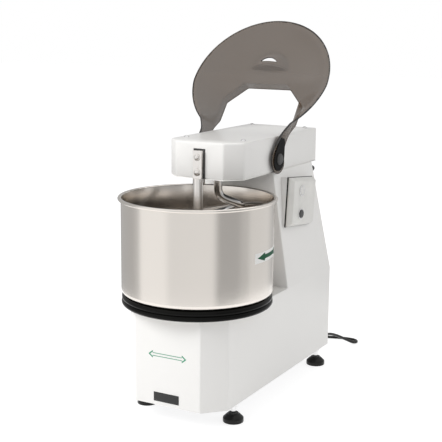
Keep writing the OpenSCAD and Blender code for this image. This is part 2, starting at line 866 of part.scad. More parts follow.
module base_chain() {
    color("dimgray") place() translate([0, 0, chain_z])
        chain(pitch_r(bowl_teeth, base_pitch), pitch_r(base_teeth, base_pitch), drive_y, base_pitch, 5);
}

// ---------- geared motor and drive shaft ----------

module gearbox() {
    color("darkgray") place() difference() {
        union() {
            translate([-gearbox_w / 2, drive_y - gearbox_front, gearbox_z])
                cube([gearbox_w, gearbox_front + gearbox_back, gearbox_h]);
            translate([0, drive_y, gearbox_z + gearbox_h - 1]) cylinder(d = drive_shaft_d + 40, h = 15);
            for (x = [-50, 0, 50]) translate([x - 3, drive_y + 60, gearbox_z + gearbox_h - 1])
                cube([6, gearbox_back - 70, 9]);
        }
        translate([0, drive_y, 0]) cylinder(d = drive_shaft_d + 2 * fit, h = reach);
    }
}

module motor() {
    fin_t = 4;
    color("slategray") place() translate([0, drive_y + motor_back, motor_z]) {
        cylinder(d = motor_core_d, h = motor_l, $fn = 96);
        translate([0, 0, motor_l - 10]) cylinder(d = motor_d, h = 10, $fn = 96);
        for (i = [0 : 17]) rotate([0, 0, 20 * i])
            translate([motor_core_d / 2 - 4, -fin_t / 2, 20])
                cube([(motor_d - motor_core_d) / 2 + 4, fin_t, motor_l - 29]);
    }
}

module motor_fan_cover() {
    color("#303030") place() translate([0, drive_y + motor_back, motor_z - 40]) difference() {
        cylinder(d = motor_core_d + 5, h = 56, $fn = 96);
        translate([0, 0, 2]) cylinder(d = motor_core_d + 2 * fit, h = 60, $fn = 96);
        for (i = [0 : 7]) rotate([0, 0, 45 * i]) translate([20, -3, -1]) cube([30, 6, 5]);
    }
}

module terminal_box() {
    w = 70;
    color("#303030") place()
        translate([-w / 2, drive_y + motor_back - motor_d / 2 - 30, motor_z + 30]) difference() {
            cube([w, 40, 60]);
            translate([w / 2, motor_d / 2 + 30, -1]) cylinder(d = motor_d + 2 * fit, h = 62, $fn = 96);
        }
}

module drive_shaft() {
    color("silver") place() translate([0, drive_y, drive_low])
        cylinder(d = drive_shaft_d, h = drive_high - drive_low, $fn = 96);
}

module drive_sprocket_lower() {
    color("gray") place() translate([0, drive_y, chain_z])
        sprocket(base_teeth, base_pitch, 5, drive_shaft_d + 2 * fit, drive_shaft_d + 4, 5);
}

module drive_sprocket_upper() {
    color("gray") place() translate([0, drive_y, head_chain_z]) mirror([0, 0, 1])
        sprocket(head_teeth, head_pitch, 7, drive_shaft_d + 2 * fit, 60, 12);
}

module drive_bearing() {
    color("lightsteelblue") place() translate([0, drive_y, head_z - 6])
        ring(drive_bearing_d, drive_shaft_d + 2 * fit, drive_bearing_h);
}

module head_chain() {
    front_r = pitch_r(spiral_teeth, head_pitch);
    rear_r = pitch_r(head_teeth, head_pitch);
    color("dimgray") place() translate([0, drive_y, head_chain_z]) mirror([0, 1, 0])
        chain(rear_r, front_r, drive_y - spiral_y, head_pitch, 7);
}

// ---------- spiral ----------

module spiral_housing() {
    bore = spiral_bearing_d + 2 * fit;
    h = spiral_housing_h;
    color("slategray") place() translate([0, spiral_y, spiral_housing_z]) difference() {
        union() {
            cylinder(d = spiral_housing_d, h = h, $fn = 96);
            translate([0, 0, head_plate_top - spiral_housing_z])
                cylinder(d = spiral_housing_d + 30, h = 8, $fn = 96);
        }
        translate([0, 0, -1]) cylinder(d = spiral_shaft_d + 2 * run_gap, h = h + 2, $fn = 96);
        translate([0, 0, housing_web]) cylinder(d = bore, h = spiral_bearing_h, $fn = 96);
        translate([0, 0, -1]) cylinder(d = bore - 6, h = housing_web + 2, $fn = 96);
        translate([0, 0, h - spiral_bearing_h]) cylinder(d = bore, h = spiral_bearing_h + 1, $fn = 96);
    }
}

module spiral_bearings() {
    color("lightsteelblue") place()
        for (z = [housing_web, spiral_housing_h - spiral_bearing_h])
            translate([0, spiral_y, spiral_housing_z + z])
                ring(spiral_bearing_d, spiral_shaft_d + 2 * fit, spiral_bearing_h);
}

module spiral_seal() {
    color("#202020") place() translate([0, spiral_y, spiral_housing_z - 3])
        ring(spiral_bearing_d - 6, spiral_shaft_d + 2 * fit, housing_web + 3);
}

module spiral_shaft() {
    color("silver") place() translate([0, spiral_y, spiral_end_z])
        cylinder(d = spiral_shaft_d, h = head_chain_z + 8 - spiral_end_z, $fn = 96);
}

module spiral_sprocket() {
    color("gray") place() translate([0, spiral_y, head_chain_z]) mirror([0, 0, 1])
        sprocket(spiral_teeth, head_pitch, 7, spiral_shaft_d + 2 * fit, spiral_shaft_d + 15, 4);
}

// Point of the spiral's centre line, at a radius, an angle and a height
function spiral_point(r, a, z) = [r * cos(a), r * sin(a), z];

// Rounds off the corners of a path
function eased(path, passes) =
    passes == 0 ? path :
    eased([
        for (i = [0 : len(path) - 1])
            i == 0 || i == len(path) - 1 ? path[i] : (path[i - 1] + 2 * path[i] + path[i + 1]) / 4
    ], passes - 1);

module spiral() {
    steps = 76;
    shoulder = spiral_end_z - spiral_neck;
    elbow = shoulder - spiral_r * tan(arm_fall);
    low = bowl_floor + spiral_gap + rod_d / 2;
    neck = [for (i = [0 : 5]) [0, 0, spiral_end_z + (shoulder - spiral_end_z) * i / 6]];
    arm = [
        for (i = [0 : 9])
            spiral_point(spiral_r * i / 9, spiral_start, shoulder + (elbow - shoulder) * i / 9)
    ];
    coil = [
        for (i = [1 : steps]) let (t = i / steps)
            spiral_point(spiral_r, spiral_start + 360 * spiral_turns * t, elbow + (low - elbow) * t)
    ];
    path = eased(concat(neck, arm, coil), 8);
    last = len(path) - 1;
    radii = [for (i = [0 : last]) rod_d / 2 * (i == last ? 0.55 : (i == last - 1 ? 0.9 : 1))];
    color("silver") place() translate([0, spiral_y, 0]) sweep(path, radii, 18);
}

// ---------- guard lid ----------

// Swings a piece from the closed lid's place to the open one; the closed lid's rim plane is Z = 0
module lid_place() {
    place() translate([0, hinge_y, hinge_z]) rotate([-lid_open, 0, 0]) translate([0, -hinge_y, -lid_drop])
        children();
}

// Outline of the cut-out around the head, widened by a margin
module cut_outline(margin, back) {
    half = cut_x + margin;
    face = cut_face_w / 2 + margin * 0.5;
    front = -cut_front - margin;
    polygon([
        [-face, front], [face, front], [half, front + cut_chamfer], [half, back],
        [-half, back], [-half, front + cut_chamfer]
    ]);
}

// The space between two spheres that share the dome's centre line
module dome_layer(low, high) {
    translate([0, 0, lid_rise - dome_ball]) difference() {
        sphere(r = dome_ball + high, $fn = round_fn * 2);
        sphere(r = dome_ball + low, $fn = round_fn * 2);
    }
}

// Side view of one arm, in the closed lid's Y and height
module arm_outline() {
    front = arm_front;
    root = arm_front + 22;
    front_top = dome_z(norm([arm_x, front])) + collar_h - 7;
    root_low = dome_z(norm([arm_x, root])) + 1;
    polygon([
        [front, front_top - 16], [front, front_top], [hinge_y - 106, lid_drop + 13],
        [hinge_y - 74, lid_drop + 17], [hinge_y - 42, lid_drop + 24], [hinge_y - 20, lid_drop + 34],
        [hinge_y, lid_drop + arm_end_r - 1], [hinge_y, lid_drop - arm_end_r + 1],
        [hinge_y - 20, lid_drop - arm_end_r + 1.5], [leg_back, 0.5], [root, root_low]
    ]);
    translate([hinge_y, lid_drop]) circle(r = arm_end_r, $fn = 96);
}

module lid_arm() {
    translate([arm_x, 0, 0]) rotate([90, 0, 90]) linear_extrude(height = lid_t) arm_outline();
}

// Collar around the cut-out; it grows lower along the legs
module lid_collar() {
    intersection() {
        dome_layer(0.5, collar_h);
        linear_extrude(height = 200) difference() {
            cut_outline(lid_t, leg_back);
            cut_outline(0, lid_r);
        }
        across(reach) polygon([
            [-cut_front - 40, 0], [-cut_front - 40, lid_rise + collar_h + 14],
            [arm_front, dome_z(norm([arm_x, arm_front])) + collar_h - 6], [lid_r, lid_drop], [lid_r, 0]
        ]);
    }
}

// Half disc of the finger grip, seen square to the sheet
module grip_outline(r) {
    intersection() {
        circle(r = r, $fn = 96);
        translate([-r, -r]) square([2 * r, r]);
    }
}

// Frame of the finger grip: on the dome's underside at the straight edge's middle, square to the sheet
module grip_place() {
    translate([0, 0, lid_rise - dome_ball]) rotate([asin(grip_y / dome_ball), 0, 0])
        translate([0, 0, dome_ball]) children();
}

// The space in front of the dish's sloping rear wall, moved to the rear by a distance
module grip_side(back) {
    rotate([-grip_slope, 0, 0]) translate([-reach / 2, back - reach, -reach / 2]) cube(reach);
}

// Dish of the finger grip, with its rear wall and its slot
module grip_dish() {
    edge = lid_t / 2 - grip_r * grip_r / (2 * dome_ball);
    dish_r = (grip_r * grip_r + grip_depth * grip_depth) / (2 * grip_depth);
    grip_place() difference() {
        intersection() {
            translate([0, 0, edge - grip_depth + dish_r]) sphere(r = dish_r + lid_t / 2, $fn = 144);
            grip_side(lid_t);
            translate([0, 0, -dome_ball]) sphere(r = dome_ball + lid_t - 0.5, $fn = round_fn * 2);
        }
        intersection() {
            translate([0, 0, edge - grip_depth + dish_r]) sphere(r = dish_r - lid_t / 2, $fn = 144);
            grip_side(0);
        }
        translate([-slot_w / 2, -slot_l - grip_depth * tan(grip_slope), -2 * grip_depth])
            cube([slot_w, slot_l, 2 * grip_depth - 6]);
    }
}

module lid() {
    color("#6b6661", 0.6) lid_place() difference() {
        union() {
            // dome
            difference() {
                intersection() {
                    dome_layer(0, lid_t);
                    cylinder(r = dome_r + 1, h = lid_rise + 20, $fn = round_fn);
                }
                grip_place() translate([0, 0, -20]) linear_extrude(height = 60) grip_outline(grip_r);
            }
            // flat rim
            difference() {
                cylinder(r = lid_r, h = lid_t, $fn = round_fn);
                translate([0, 0, -1]) cylinder(r = dome_r - 1, h = lid_t + 2, $fn = round_fn);
            }
            lid_collar();
            both_sides() lid_arm();
            grip_dish();
        }
        // cut-out around the head
        translate([0, 0, -50]) linear_extrude(height = 200) cut_outline(0, lid_r);
        // the legs end here
        for (side = [-1, 1])
            translate([side > 0 ? arm_x + lid_t : -reach - arm_x - lid_t, leg_back, -100])
                cube([reach, 300, 300]);
        translate([-arm_x, leg_back, -100]) cube([2 * arm_x, 300, 300]);
        translate([0, hinge_y, lid_drop]) rotate([0, 90, 0])
            cylinder(d = hinge_pin_d + 2 * fit, h = reach, center = true);
    }
}

module hinge_brackets() {
    w = 50;
    inner = head_w / 2 - hood_t - 12;
    color("dimgray") place() difference() {
        for (side = [-1, 1])
            translate([side > 0 ? inner : -inner - frame_t, hinge_y - w / 2, head_plate_top])
                cube([frame_t, w, hinge_up + 15 - head_plate_t]);
        translate([0, hinge_y, hinge_z]) rotate([0, 90, 0])
            cylinder(d = hinge_pin_d + 2 * fit, h = reach, center = true);
    }
}

module hinge_spacers() {
    color("#202020") place() both_sides() translate([head_w / 2, hinge_y, hinge_z]) rotate([0, 90, 0])
        ring(hinge_boss_d, hinge_pin_d + 2 * gap, arm_gap - gap);
}

module hinge_pins() {
    inner = head_w / 2 - hood_t - 12;
    outer = arm_x + lid_t;
    color("#202020") place() both_sides() translate([0, hinge_y, hinge_z]) rotate([0, 90, 0]) {
        translate([0, 0, inner - 14]) cylinder(d = hinge_pin_d, h = outer - inner + 14.5);
        translate([0, 0, outer]) cylinder(d = hinge_cap_d, h = 5);
        translate([0, 0, outer + 4.5]) cylinder(d1 = hinge_cap_d, d2 = hinge_cap_d - 8, h = 4);
    }
}

// Cam on the left hinge pin's inner end, round with one flat
module lid_cam() {
    inner = head_w / 2 - hood_t - 12;
    color("goldenrod") place() translate([-inner + gap, hinge_y, hinge_z])
        rotate([-lid_open, 0, 0]) rotate([0, 90, 0]) difference() {
            cylinder(d = hinge_pin_d + 14, h = 8);
            translate([0, 0, -1]) cylinder(d = hinge_pin_d + 2 * fit, h = 20);
            translate([-30, hinge_pin_d / 2 + 4, -1]) cube([60, 20, 20]);
        }
}

module lid_switch() {
    inner = head_w / 2 - hood_t - 12;
    color("#303030") place() translate([-inner, hinge_y - 15, head_plate_top]) {
        cube([12, 30, hinge_z - head_plate_top - hinge_pin_d / 2 - 7 - 4]);
        translate([4, 10, 0]) cube([4, 10, hinge_z - head_plate_top - hinge_pin_d / 2 - 7 - 1]);
    }
}

// ---------- control panel ----------

// Frame of the control panel: X outwards, Y to the rear, Z up, turned with the panel
module panel_frame() {
    translate([0, panel_y, panel_z]) rotate([-panel_lean, 0, 0]) children();
}

// Two button places, on the panel's face and looking outwards
module button_places() {
    for (up = [-1, 1]) button_place(up) children();
}

module button_place(up) {
    place() panel_frame() translate([0, -button_shift, up * button_pitch / 2]) rotate([0, 90, 0]) children();
}

module panel_bracket() {
    color("whitesmoke") place() difference() {
        panel_frame() translate([60, -panel_w / 2, -panel_h / 2]) cube([panel_x - 60, panel_w, panel_h]);
        body_form(0, foot_gap, head_z + 50);
        panel_frame() translate([0, -window / 2, -window / 2]) cube([reach, window, window]);
    }
}

module panel_gasket() {
    margin = 1.5;
    color("#151515") place() panel_frame() difference() {
        translate([panel_x, -panel_w / 2 - margin, -panel_h / 2 - margin])
            cube([gasket_t, panel_w + 2 * margin, panel_h + 2 * margin]);
        translate([0, -window / 2, -window / 2]) cube([reach, window, window]);
    }
}

// Bevelled block: the panel's form, drawn in by an inset
module panel_block(inset, depth) {
    flat = 4;
    w = panel_w / 2 - inset;
    h = panel_h / 2 - inset;
    intersection() {
        linear_extrude(height = panel_h * 2, center = true) polygon([
            [-1, -w], [flat, -w], [depth, -w + panel_bevel], [depth, w - panel_bevel], [flat, w], [-1, w]
        ]);
        rotate([90, 0, 0]) linear_extrude(height = panel_w * 2, center = true) polygon([
            [-1, -h], [flat, -h], [depth, -h + panel_bevel], [depth, h - panel_bevel], [flat, h], [-1, h]
        ]);
        translate([0, -panel_w, -panel_h]) cube([depth, 2 * panel_w, 2 * panel_h]);
    }
}

module control_panel() {
    color("ghostwhite") difference() {
        place() panel_frame() translate([panel_x + gasket_t, 0, 0]) difference() {
            panel_block(0, panel_t);
            translate([-1, 0, 0]) panel_block(panel_wall, panel_t - panel_wall + 1);
        }
        button_places() cylinder(d = button_d + 4 + 2 * fit, h = reach);
    }
}

module button_bezels() {
    color("silver") button_places() difference() {
        union() {
            translate([0, 0, panel_face]) cylinder(d = bezel_d, h = 3);
            translate([0, 0, panel_face - panel_wall]) cylinder(d = button_d + 4, h = panel_wall + 1);
        }
        translate([0, 0, panel_face - 10]) cylinder(d = button_d + 2 * gap, h = 20);
    }
}

// A push button: cap, and a plunger that enters its contact block
module button(up, proud) {
    button_place(up) {
        translate([0, 0, panel_face - 3]) cylinder(d = button_d, h = 3 + proud);
        translate([0, 0, panel_face - 18]) cylinder(d = 8, h = 16);
    }
}

module start_button() {
    color("white") button(1, 3);
}

module stop_button() {
    color("#202020") button(-1, 6);
}

module contact_blocks() {
    size = 30;
    front = panel_face - panel_wall - button_travel - 1;
    depth = front - 100;
    color("#303030") button_places() difference() {
        union() {
            translate([-size / 2, -size / 2, 100]) cube([size, size, depth]);
            for (side = [-1, 1]) translate([side * (size / 2 - 1.5) - 1.5, -size / 2, 100])
                cube([3, size, panel_face - panel_wall - 100]);
        }
        translate([0, 0, front - 20]) cylinder(d = 8 + 2 * gap, h = 30);
    }
}

module electric_box() {
    w = 45;
    h = 120;
    edge = 5;
    color("lightgray") place() translate([-upright_span / 2, upright_y + edge, head_z - 19 - h]) {
        cube([w, upright_depth - 2 * edge, h]);
        translate([w - 1, edge, edge]) cube([4, upright_depth - 4 * edge, h - 2 * edge]);
    }
}

// ---------- feet, badge and cord ----------

module foot_places() {
    for (side = [-1, 1]) for (y = [-foot_front, foot_rear]) translate([side * foot_x, y, 0]) children();
}

module foot_pads() {
    color("#181818") place() foot_places() difference() {
        union() {
            cylinder(d = pad_d, h = pad_h * 0.45);
            translate([0, 0, pad_h * 0.45]) cylinder(d1 = pad_d, d2 = pad_d * 0.62, h = pad_h * 0.4);
            translate([0, 0, pad_h * 0.85 - 0.01]) cylinder(d = pad_d * 0.5, h = pad_h * 0.15);
        }
        translate([0, 0, pad_h * 0.4]) cylinder(d = stem_d + 2 * fit, h = pad_h);
    }
}

module foot_stems() {
    low = pad_h * 0.4;
    frame_top = foot_gap + sheet + frame_t;
    color("silver") place() foot_places() {
        translate([0, 0, low]) cylinder(d = stem_d, h = frame_top + nut_h + 4 - low);
        translate([0, 0, foot_gap - nut_h]) cylinder(d = stem_d * 1.7, h = nut_h, $fn = 6);
        translate([0, 0, frame_top]) cylinder(d = stem_d * 1.7, h = nut_h, $fn = 6);
    }
}

module badge_plate() {
    color("#101010") place()
        translate([-badge_w / 2 - 3, -base_front - 1, foot_gap + badge_up - badge_h / 2])
            cube([badge_w, 1, badge_h]);
}

module cable_gland() {
    back = rear_skin;
    color("lightgray") place() translate([gland_x, back, gland_z]) rotate([-90, 0, 0]) difference() {
        union() {
            translate([0, 0, -5]) cylinder(d = gland_d * 0.6, h = 7);
            cylinder(d = gland_d, h = 6, $fn = 6);
            translate([0, 0, 5.5]) cylinder(d = gland_d * 0.82, h = 8);
            translate([0, 0, 13]) cylinder(d1 = gland_d * 0.8, d2 = gland_d * 0.55, h = gland_l - 13);
        }
        translate([0, 0, -20]) cylinder(d = cord_d + 2 * fit, h = 60);
    }
}

// Route of the free cord, from the gland down to the floor and round to its coil
cord_route = [
    [122, 545, 64], [122, 566, 64], [123, 588, 62], [126, 610, 57], [130, 632, 49], [136, 654, 39],
    [143, 675, 28], [151, 695, 17], [159, 712, 8], [164, 728, 4.5], [160, 741, 4.3], [148, 749, 4.3], [130, 750, 4.3],
    [108, 747, 4.3], [86, 741, 4.3], [64, 733, 4.3], [42, 725, 4.3], [20, 717, 4.3], [-2, 710, 4.3],
    [-24, 704, 4.3], [-46, 700, 4.3]
];
// Route of its other end, from the coil to the plug
plug_route = [[-96, 632, 12.5], [-94, 622, 14], [-93, 612, 17], [-93, 600, 18]];
coil_centre = [-42, 646];
coil_r = 46.5;
coil_layers = 2;
plug_d = 36;

module power_cord() {
    color("#151515") place() for (route = [cord_route, plug_route])
        sweep(route, [for (p = route) cord_d / 2], 8);
}

// The coil of the unused length, lying behind the base
module cord_coil() {
    half = cord_d * 1.5;
    color("#151515") place() translate([coil_centre.x, coil_centre.y, 0.2]) rotate_extrude($fn = 96)
        translate([coil_r - half, 0]) square([2 * half, cord_d * coil_layers]);
}

// Mains plug with two round pins, lying on the floor
module plug() {
    end = plug_route[len(plug_route) - 1];
    color("#151515") place() translate(end) rotate([90, 0, 0]) {
        difference() {
            union() {
                cylinder(d1 = cord_d + 4, d2 = cord_d + 10, h = 12);
                translate([0, 0, 11.5]) cylinder(d1 = plug_d * 0.6, d2 = plug_d, h = 10);
                translate([0, 0, 21]) cylinder(d = plug_d, h = 14);
            }
            translate([0, plug_d * 0.36, 25]) cylinder(d = 5, h = 20);
        }
        for (side = [-1, 1]) translate([side * 9.5, 0, 34]) cylinder(d = 4.8, h = 19);
    }
}

body_shell();
rear_cover();
rear_cover_screws();
rear_cover_knobs();
bottom_plate();
frame();
head_plate();
head_hood();
hood_screws();
bar_bracket();
breaker_bar();
breaker_bar_bolts();
ring_plate();
bowl_ring();
bowl_housing();
bowl_bearings();
bowl_seal();
bowl();
bowl_disc();
bowl_shaft();
bowl_screws();
bowl_sprocket();
bowl_nut();
base_chain();
gearbox();
motor();
motor_fan_cover();
terminal_box();
drive_shaft();
drive_sprocket_lower();
drive_sprocket_upper();
drive_bearing();
head_chain();
spiral_housing();
spiral_bearings();
spiral_seal();
spiral_shaft();
spiral_sprocket();
spiral();
hinge_brackets();
hinge_spacers();
lid();
hinge_pins();
lid_cam();
lid_switch();
panel_bracket();
panel_gasket();
control_panel();
button_bezels();
start_button();
stop_button();
contact_blocks();
electric_box();
foot_pads();
foot_stems();
badge_plate();
cable_gland();
power_cord();
cord_coil();
plug();
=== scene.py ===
"""Looks of a spiral dough mixer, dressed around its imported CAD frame. All lengths are in metres."""

import json
import logging
import math
from collections.abc import Callable, Iterable, Mapping, Sequence
from dataclasses import dataclass, field
from enum import Enum
from typing import Any

import bmesh
import bpy
from mathutils import Matrix, Quaternion, Vector
from mathutils.geometry import delaunay_2d_cdt


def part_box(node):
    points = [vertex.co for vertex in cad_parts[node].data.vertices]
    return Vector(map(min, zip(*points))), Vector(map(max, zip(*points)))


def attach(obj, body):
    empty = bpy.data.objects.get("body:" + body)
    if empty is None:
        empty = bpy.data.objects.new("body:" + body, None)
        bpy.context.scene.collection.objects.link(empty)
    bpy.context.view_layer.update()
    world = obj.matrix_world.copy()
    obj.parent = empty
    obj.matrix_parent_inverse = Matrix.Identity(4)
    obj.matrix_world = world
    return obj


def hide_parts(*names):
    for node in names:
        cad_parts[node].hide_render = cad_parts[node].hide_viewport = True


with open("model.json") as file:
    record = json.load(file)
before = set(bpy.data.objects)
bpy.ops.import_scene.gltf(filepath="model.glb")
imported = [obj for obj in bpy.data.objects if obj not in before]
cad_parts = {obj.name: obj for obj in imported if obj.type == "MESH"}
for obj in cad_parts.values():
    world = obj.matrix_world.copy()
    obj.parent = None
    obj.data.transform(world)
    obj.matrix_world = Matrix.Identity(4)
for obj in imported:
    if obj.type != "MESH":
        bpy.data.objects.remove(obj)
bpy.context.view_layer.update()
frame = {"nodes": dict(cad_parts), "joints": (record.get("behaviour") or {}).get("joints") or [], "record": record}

LOG = logging.getLogger("mixer")
MM = 0.001
Colour = tuple[float, float, float]
Path = list[Vector]
Curve = tuple[tuple[float, float], ...]


# ---------------------------------------------------------------- shader maths


class Wire:
    """An output of a shader node that takes part in plain arithmetic."""

    def __init__(self, graph: "Graph", socket: bpy.types.NodeSocket | None) -> None:
        """Remembers the graph and the socket."""
        self.graph = graph
        self.socket = socket

    def _math(self, operation: str, *values: "Wire | float") -> "Wire":
        """Adds a Math node.

        Args:
            operation: Blender's name of the operation.
            *values: The node's inputs in order.

        Returns:
            The node's result.
        """
        return self.graph.add("ShaderNodeMath", {"operation": operation}, dict(enumerate(values)))

    def __add__(self, other: "Wire | float") -> "Wire":
        """Sum."""
        return self._math("ADD", self, other)

    __radd__ = __add__

    def __sub__(self, other: "Wire | float") -> "Wire":
        """Difference."""
        return self._math("SUBTRACT", self, other)

    def __rsub__(self, other: "Wire | float") -> "Wire":
        """Difference with the number first."""
        return self._math("SUBTRACT", other, self)

    def __mul__(self, other: "Wire | float") -> "Wire":
        """Product."""
        return self._math("MULTIPLY", self, other)

    __rmul__ = __mul__

    def __truediv__(self, other: "Wire | float") -> "Wire":
        """Quotient."""
        return self._math("DIVIDE", self, other)

    def __rtruediv__(self, other: "Wire | float") -> "Wire":
        """Quotient with the number first."""
        return self._math("DIVIDE", other, self)

    def other(self, output: str) -> "Wire":
        """Another output of the same node."""
        return Wire(self.graph, self.socket.node.outputs[output])

    def clamped(self, low: float, high: float) -> "Wire":
        """Keeps the value between two numbers."""
        return self._math("MINIMUM", self._math("MAXIMUM", self, low), high)


class Graph:
    """The node tree of one material or of the world."""

    def __init__(self, tree: bpy.types.NodeTree) -> None:
        """Empties the tree."""
        tree.nodes.clear()
        self.tree = tree

    def add(
        self,
        kind: str,
        settings: Mapping[str, Any] | None = None,
        inputs: Mapping[str | int, Any] | None = None,
        output: str | int = 0,
    ) -> Wire:
        """Adds any node.

        Args:
            kind: Blender's name of the node type.
            settings: The node's own settings, and "stops" for a ramp's positions and colours.
            inputs: Values or wires by the socket's name or number.
            output: The name or number of the output to return.

        Returns:
            The chosen output.
        """
        node = self.tree.nodes.new(kind)
        for name, value in (settings or {}).items():
            if name == "stops":
                self._set_stops(node.color_ramp, value)
            else:
                setattr(node, name, value)
        for key, value in (inputs or {}).items():
            if isinstance(value, Wire):
                self.tree.links.new(value.socket, node.inputs[key])
            else:
                node.inputs[key].default_value = value
        return Wire(self, node.outputs[output] if node.outputs else None)

    @staticmethod
    def _set_stops(ramp: bpy.types.ColorRamp, stops: Sequence[tuple[float, Colour]]) -> None:
        """Gives a ramp its stops."""
        ramp.elements.remove(ramp.elements[1])
        ramp.elements[0].position = stops[0][0]
        ramp.elements[0].color = (*stops[0][1], 1.0)
        for position, colour in stops[1:]:
            ramp.elements.new(position).color = (*colour, 1.0)

    def place(self) -> Wire:
        """The point of the surface in the mixer's own frame."""
        return self.add("ShaderNodeTexCoord", output="Object")

    def seen(self) -> Wire:
        """1 for what the camera sees, straight or in metal and clear sheet, and 0 for light."""
        names = ("Is Camera Ray", "Is Glossy Ray", "Is Transmission Ray")
        camera, glossy, clear = (self.add("ShaderNodeLightPath", output=name) for name in names)
        return (camera + glossy + clear).clamped(0.0, 1.0)

    def stretched(self, point: Wire, scale: Sequence[float]) -> Wire:
        """Scales a point differently along each axis.

        Args:
            point: The point to scale.
            scale: Cycles in a metre along X, Y and Z.

        Returns:
            The scaled point.
        """
        return self.add("ShaderNodeVectorMath", {"operation": "MULTIPLY"}, {0: point, 1: tuple(scale)})

    def noise(self, point: Wire, scale: float, detail: float = 2.0, roughness: float = 0.5) -> Wire:
        """Soft random values around one half.

        Args:
            point: Where the noise is read.
            scale: Cycles in a unit of the point.
            detail: Number of finer layers.
            roughness: Strength of the finer layers.

        Returns:
            A value from 0 to 1.
        """
        values = {"Vector": point, "Scale": scale, "Detail": detail, "Roughness": roughness}
        return self.add("ShaderNodeTexNoise", {}, values)

    def mix(self, factor: Wire | float, first: Wire | Colour, second: Wire | Colour) -> Wire:
        """Blends two colours."""
        paint = [value if isinstance(value, Wire) else (*value, 1.0) for value in (first, second)]
        values = {0: factor, 6: paint[0], 7: paint[1]}
        return self.add("ShaderNodeMix", {"data_type": "RGBA"}, values, output=2)

    def bump(self, height: Wire, distance: float, strength: float = 1.0) -> Wire:
        """Turns a height into a normal."""
        values = {"Height": height, "Distance": distance, "Strength": strength}
        return self.add("ShaderNodeBump", {}, values)


def new_material(name: str) -> tuple[bpy.types.Material, Graph]:
    """Makes an empty material.

    Args:
        name: The finish's name.

    Returns:
        The material and its graph.
    """
    material = bpy.data.materials.new(name)
    material.use_nodes = True
    return material, Graph(material.node_tree)


def tinted(colour: Colour, factor: float) -> Colour:
    """Makes a colour lighter or darker by a factor, up to white."""
    return tuple(min(channel * factor, 1.0) for channel in colour)


class Grain(Enum):
    """Direction in which a metal is brushed."""

    AROUND = (30.0, 30.0, 1400.0)
    UPRIGHT = (900.0, 900.0, 12.0)


@dataclass(frozen=True)
class Finish:
    """What every finish has: a name and the record's slot."""

    name: str
    slot: str

    def surface(self, graph: Graph) -> dict[str, Any]:
        """Inputs of the Principled shader. Each kind of finish gives its own."""
        raise NotImplementedError

    def material(self) -> bpy.types.Material:
        """Builds the material once and gives the same one afterwards.

        Returns:
            The Blender material.
        """
        known = bpy.data.materials.get(self.name)
        if known:
            return known
        material, graph = new_material(self.name)
        shader = graph.add("ShaderNodeBsdfPrincipled", {}, self.surface(graph))
        graph.add("ShaderNodeOutputMaterial", {}, {"Surface": shader})
        return material


@dataclass(frozen=True)
class Enamel(Finish):
    """Sprayed and baked paint with a fine orange peel."""

    colour: Colour = (0.8, 0.8, 0.8)
    roughness: float = 0.32
    peel: float = 0.00004
    coat: float = 0.25
    shade_scale: float = 3.0
    peel_scale: float = 420.0
    dust_scale: float = 60.0

    def surface(self, graph: Graph) -> dict[str, Any]:
        """Paint with slow changes of shade and gloss."""
        point = graph.place()
        shade = graph.noise(point, self.shade_scale, 3.0)
        peel = graph.noise(point, self.peel_scale, 1.0)
        dust = graph.noise(point, self.dust_scale, 4.0, 0.6)
        return {
            "Base Color": graph.mix(shade, tinted(self.colour, 0.975), tinted(self.colour, 1.02)),
            "Roughness": (self.roughness - 0.05) + shade * 0.06 + dust * 0.04,
            "Coat Weight": self.coat,
            "Coat Roughness": 0.12,
            "Normal": graph.bump(peel, self.peel),
        }


@dataclass(frozen=True)
class Metal(Finish):
    """Bare metal with brushing marks or turning marks."""

    colour: Colour = (0.7, 0.7, 0.7)
    roughness: float = 0.3
    grain: Grain = Grain.AROUND
    marks: float = 0.00002
    cloud: float = 0.08
    smudge_scale: float = 9.0

    def surface(self, graph: Graph) -> dict[str, Any]:
        """Metal whose marks change its shade, gloss and relief."""
        point = graph.place()
        lines = graph.noise(graph.stretched(point, self.grain.value), 1.0, 3.0, 0.6)
        smudge = graph.noise(point, self.smudge_scale, 3.0, 0.55)
        dark, pale = (tinted(self.colour, 1 + sign * self.cloud) for sign in (-1, 1))
        rough = (self.roughness * 0.7) + lines * self.roughness * 0.5 + smudge * 0.06
        return {
            "Base Color": graph.mix(lines * 0.6 + smudge * 0.4, dark, pale),
            "Metallic": 1.0,
            "Roughness": rough.clamped(0.03, 0.9),
            "Normal": graph.bump(lines, self.marks),
        }


@dataclass(frozen=True)
class Moulded(Finish):
    """Moulded plastic or rubber with a fine grain."""

    colour: Colour = (0.05, 0.05, 0.05)
    roughness: float = 0.45
    shine: float = 0.5
    texture: float = 0.00005
    pebble_scale: float = 900.0
    wear_scale: float = 14.0

    def surface(self, graph: Graph) -> dict[str, Any]:
        """Plastic with a pebbled skin and a little wear."""
        point = graph.place()
        pebble = graph.noise(point, self.pebble_scale, 2.0)
        wear = graph.noise(point, self.wear_scale, 4.0, 0.6)
        return {
            "Base Color": graph.mix(wear, tinted(self.colour, 0.85), tinted(self.colour, 1.15)),
            "Roughness": (self.roughness - 0.06) + wear * 0.12,
            "Specular IOR Level": self.shine,
            "Normal": graph.bump(pebble, self.texture),
        }


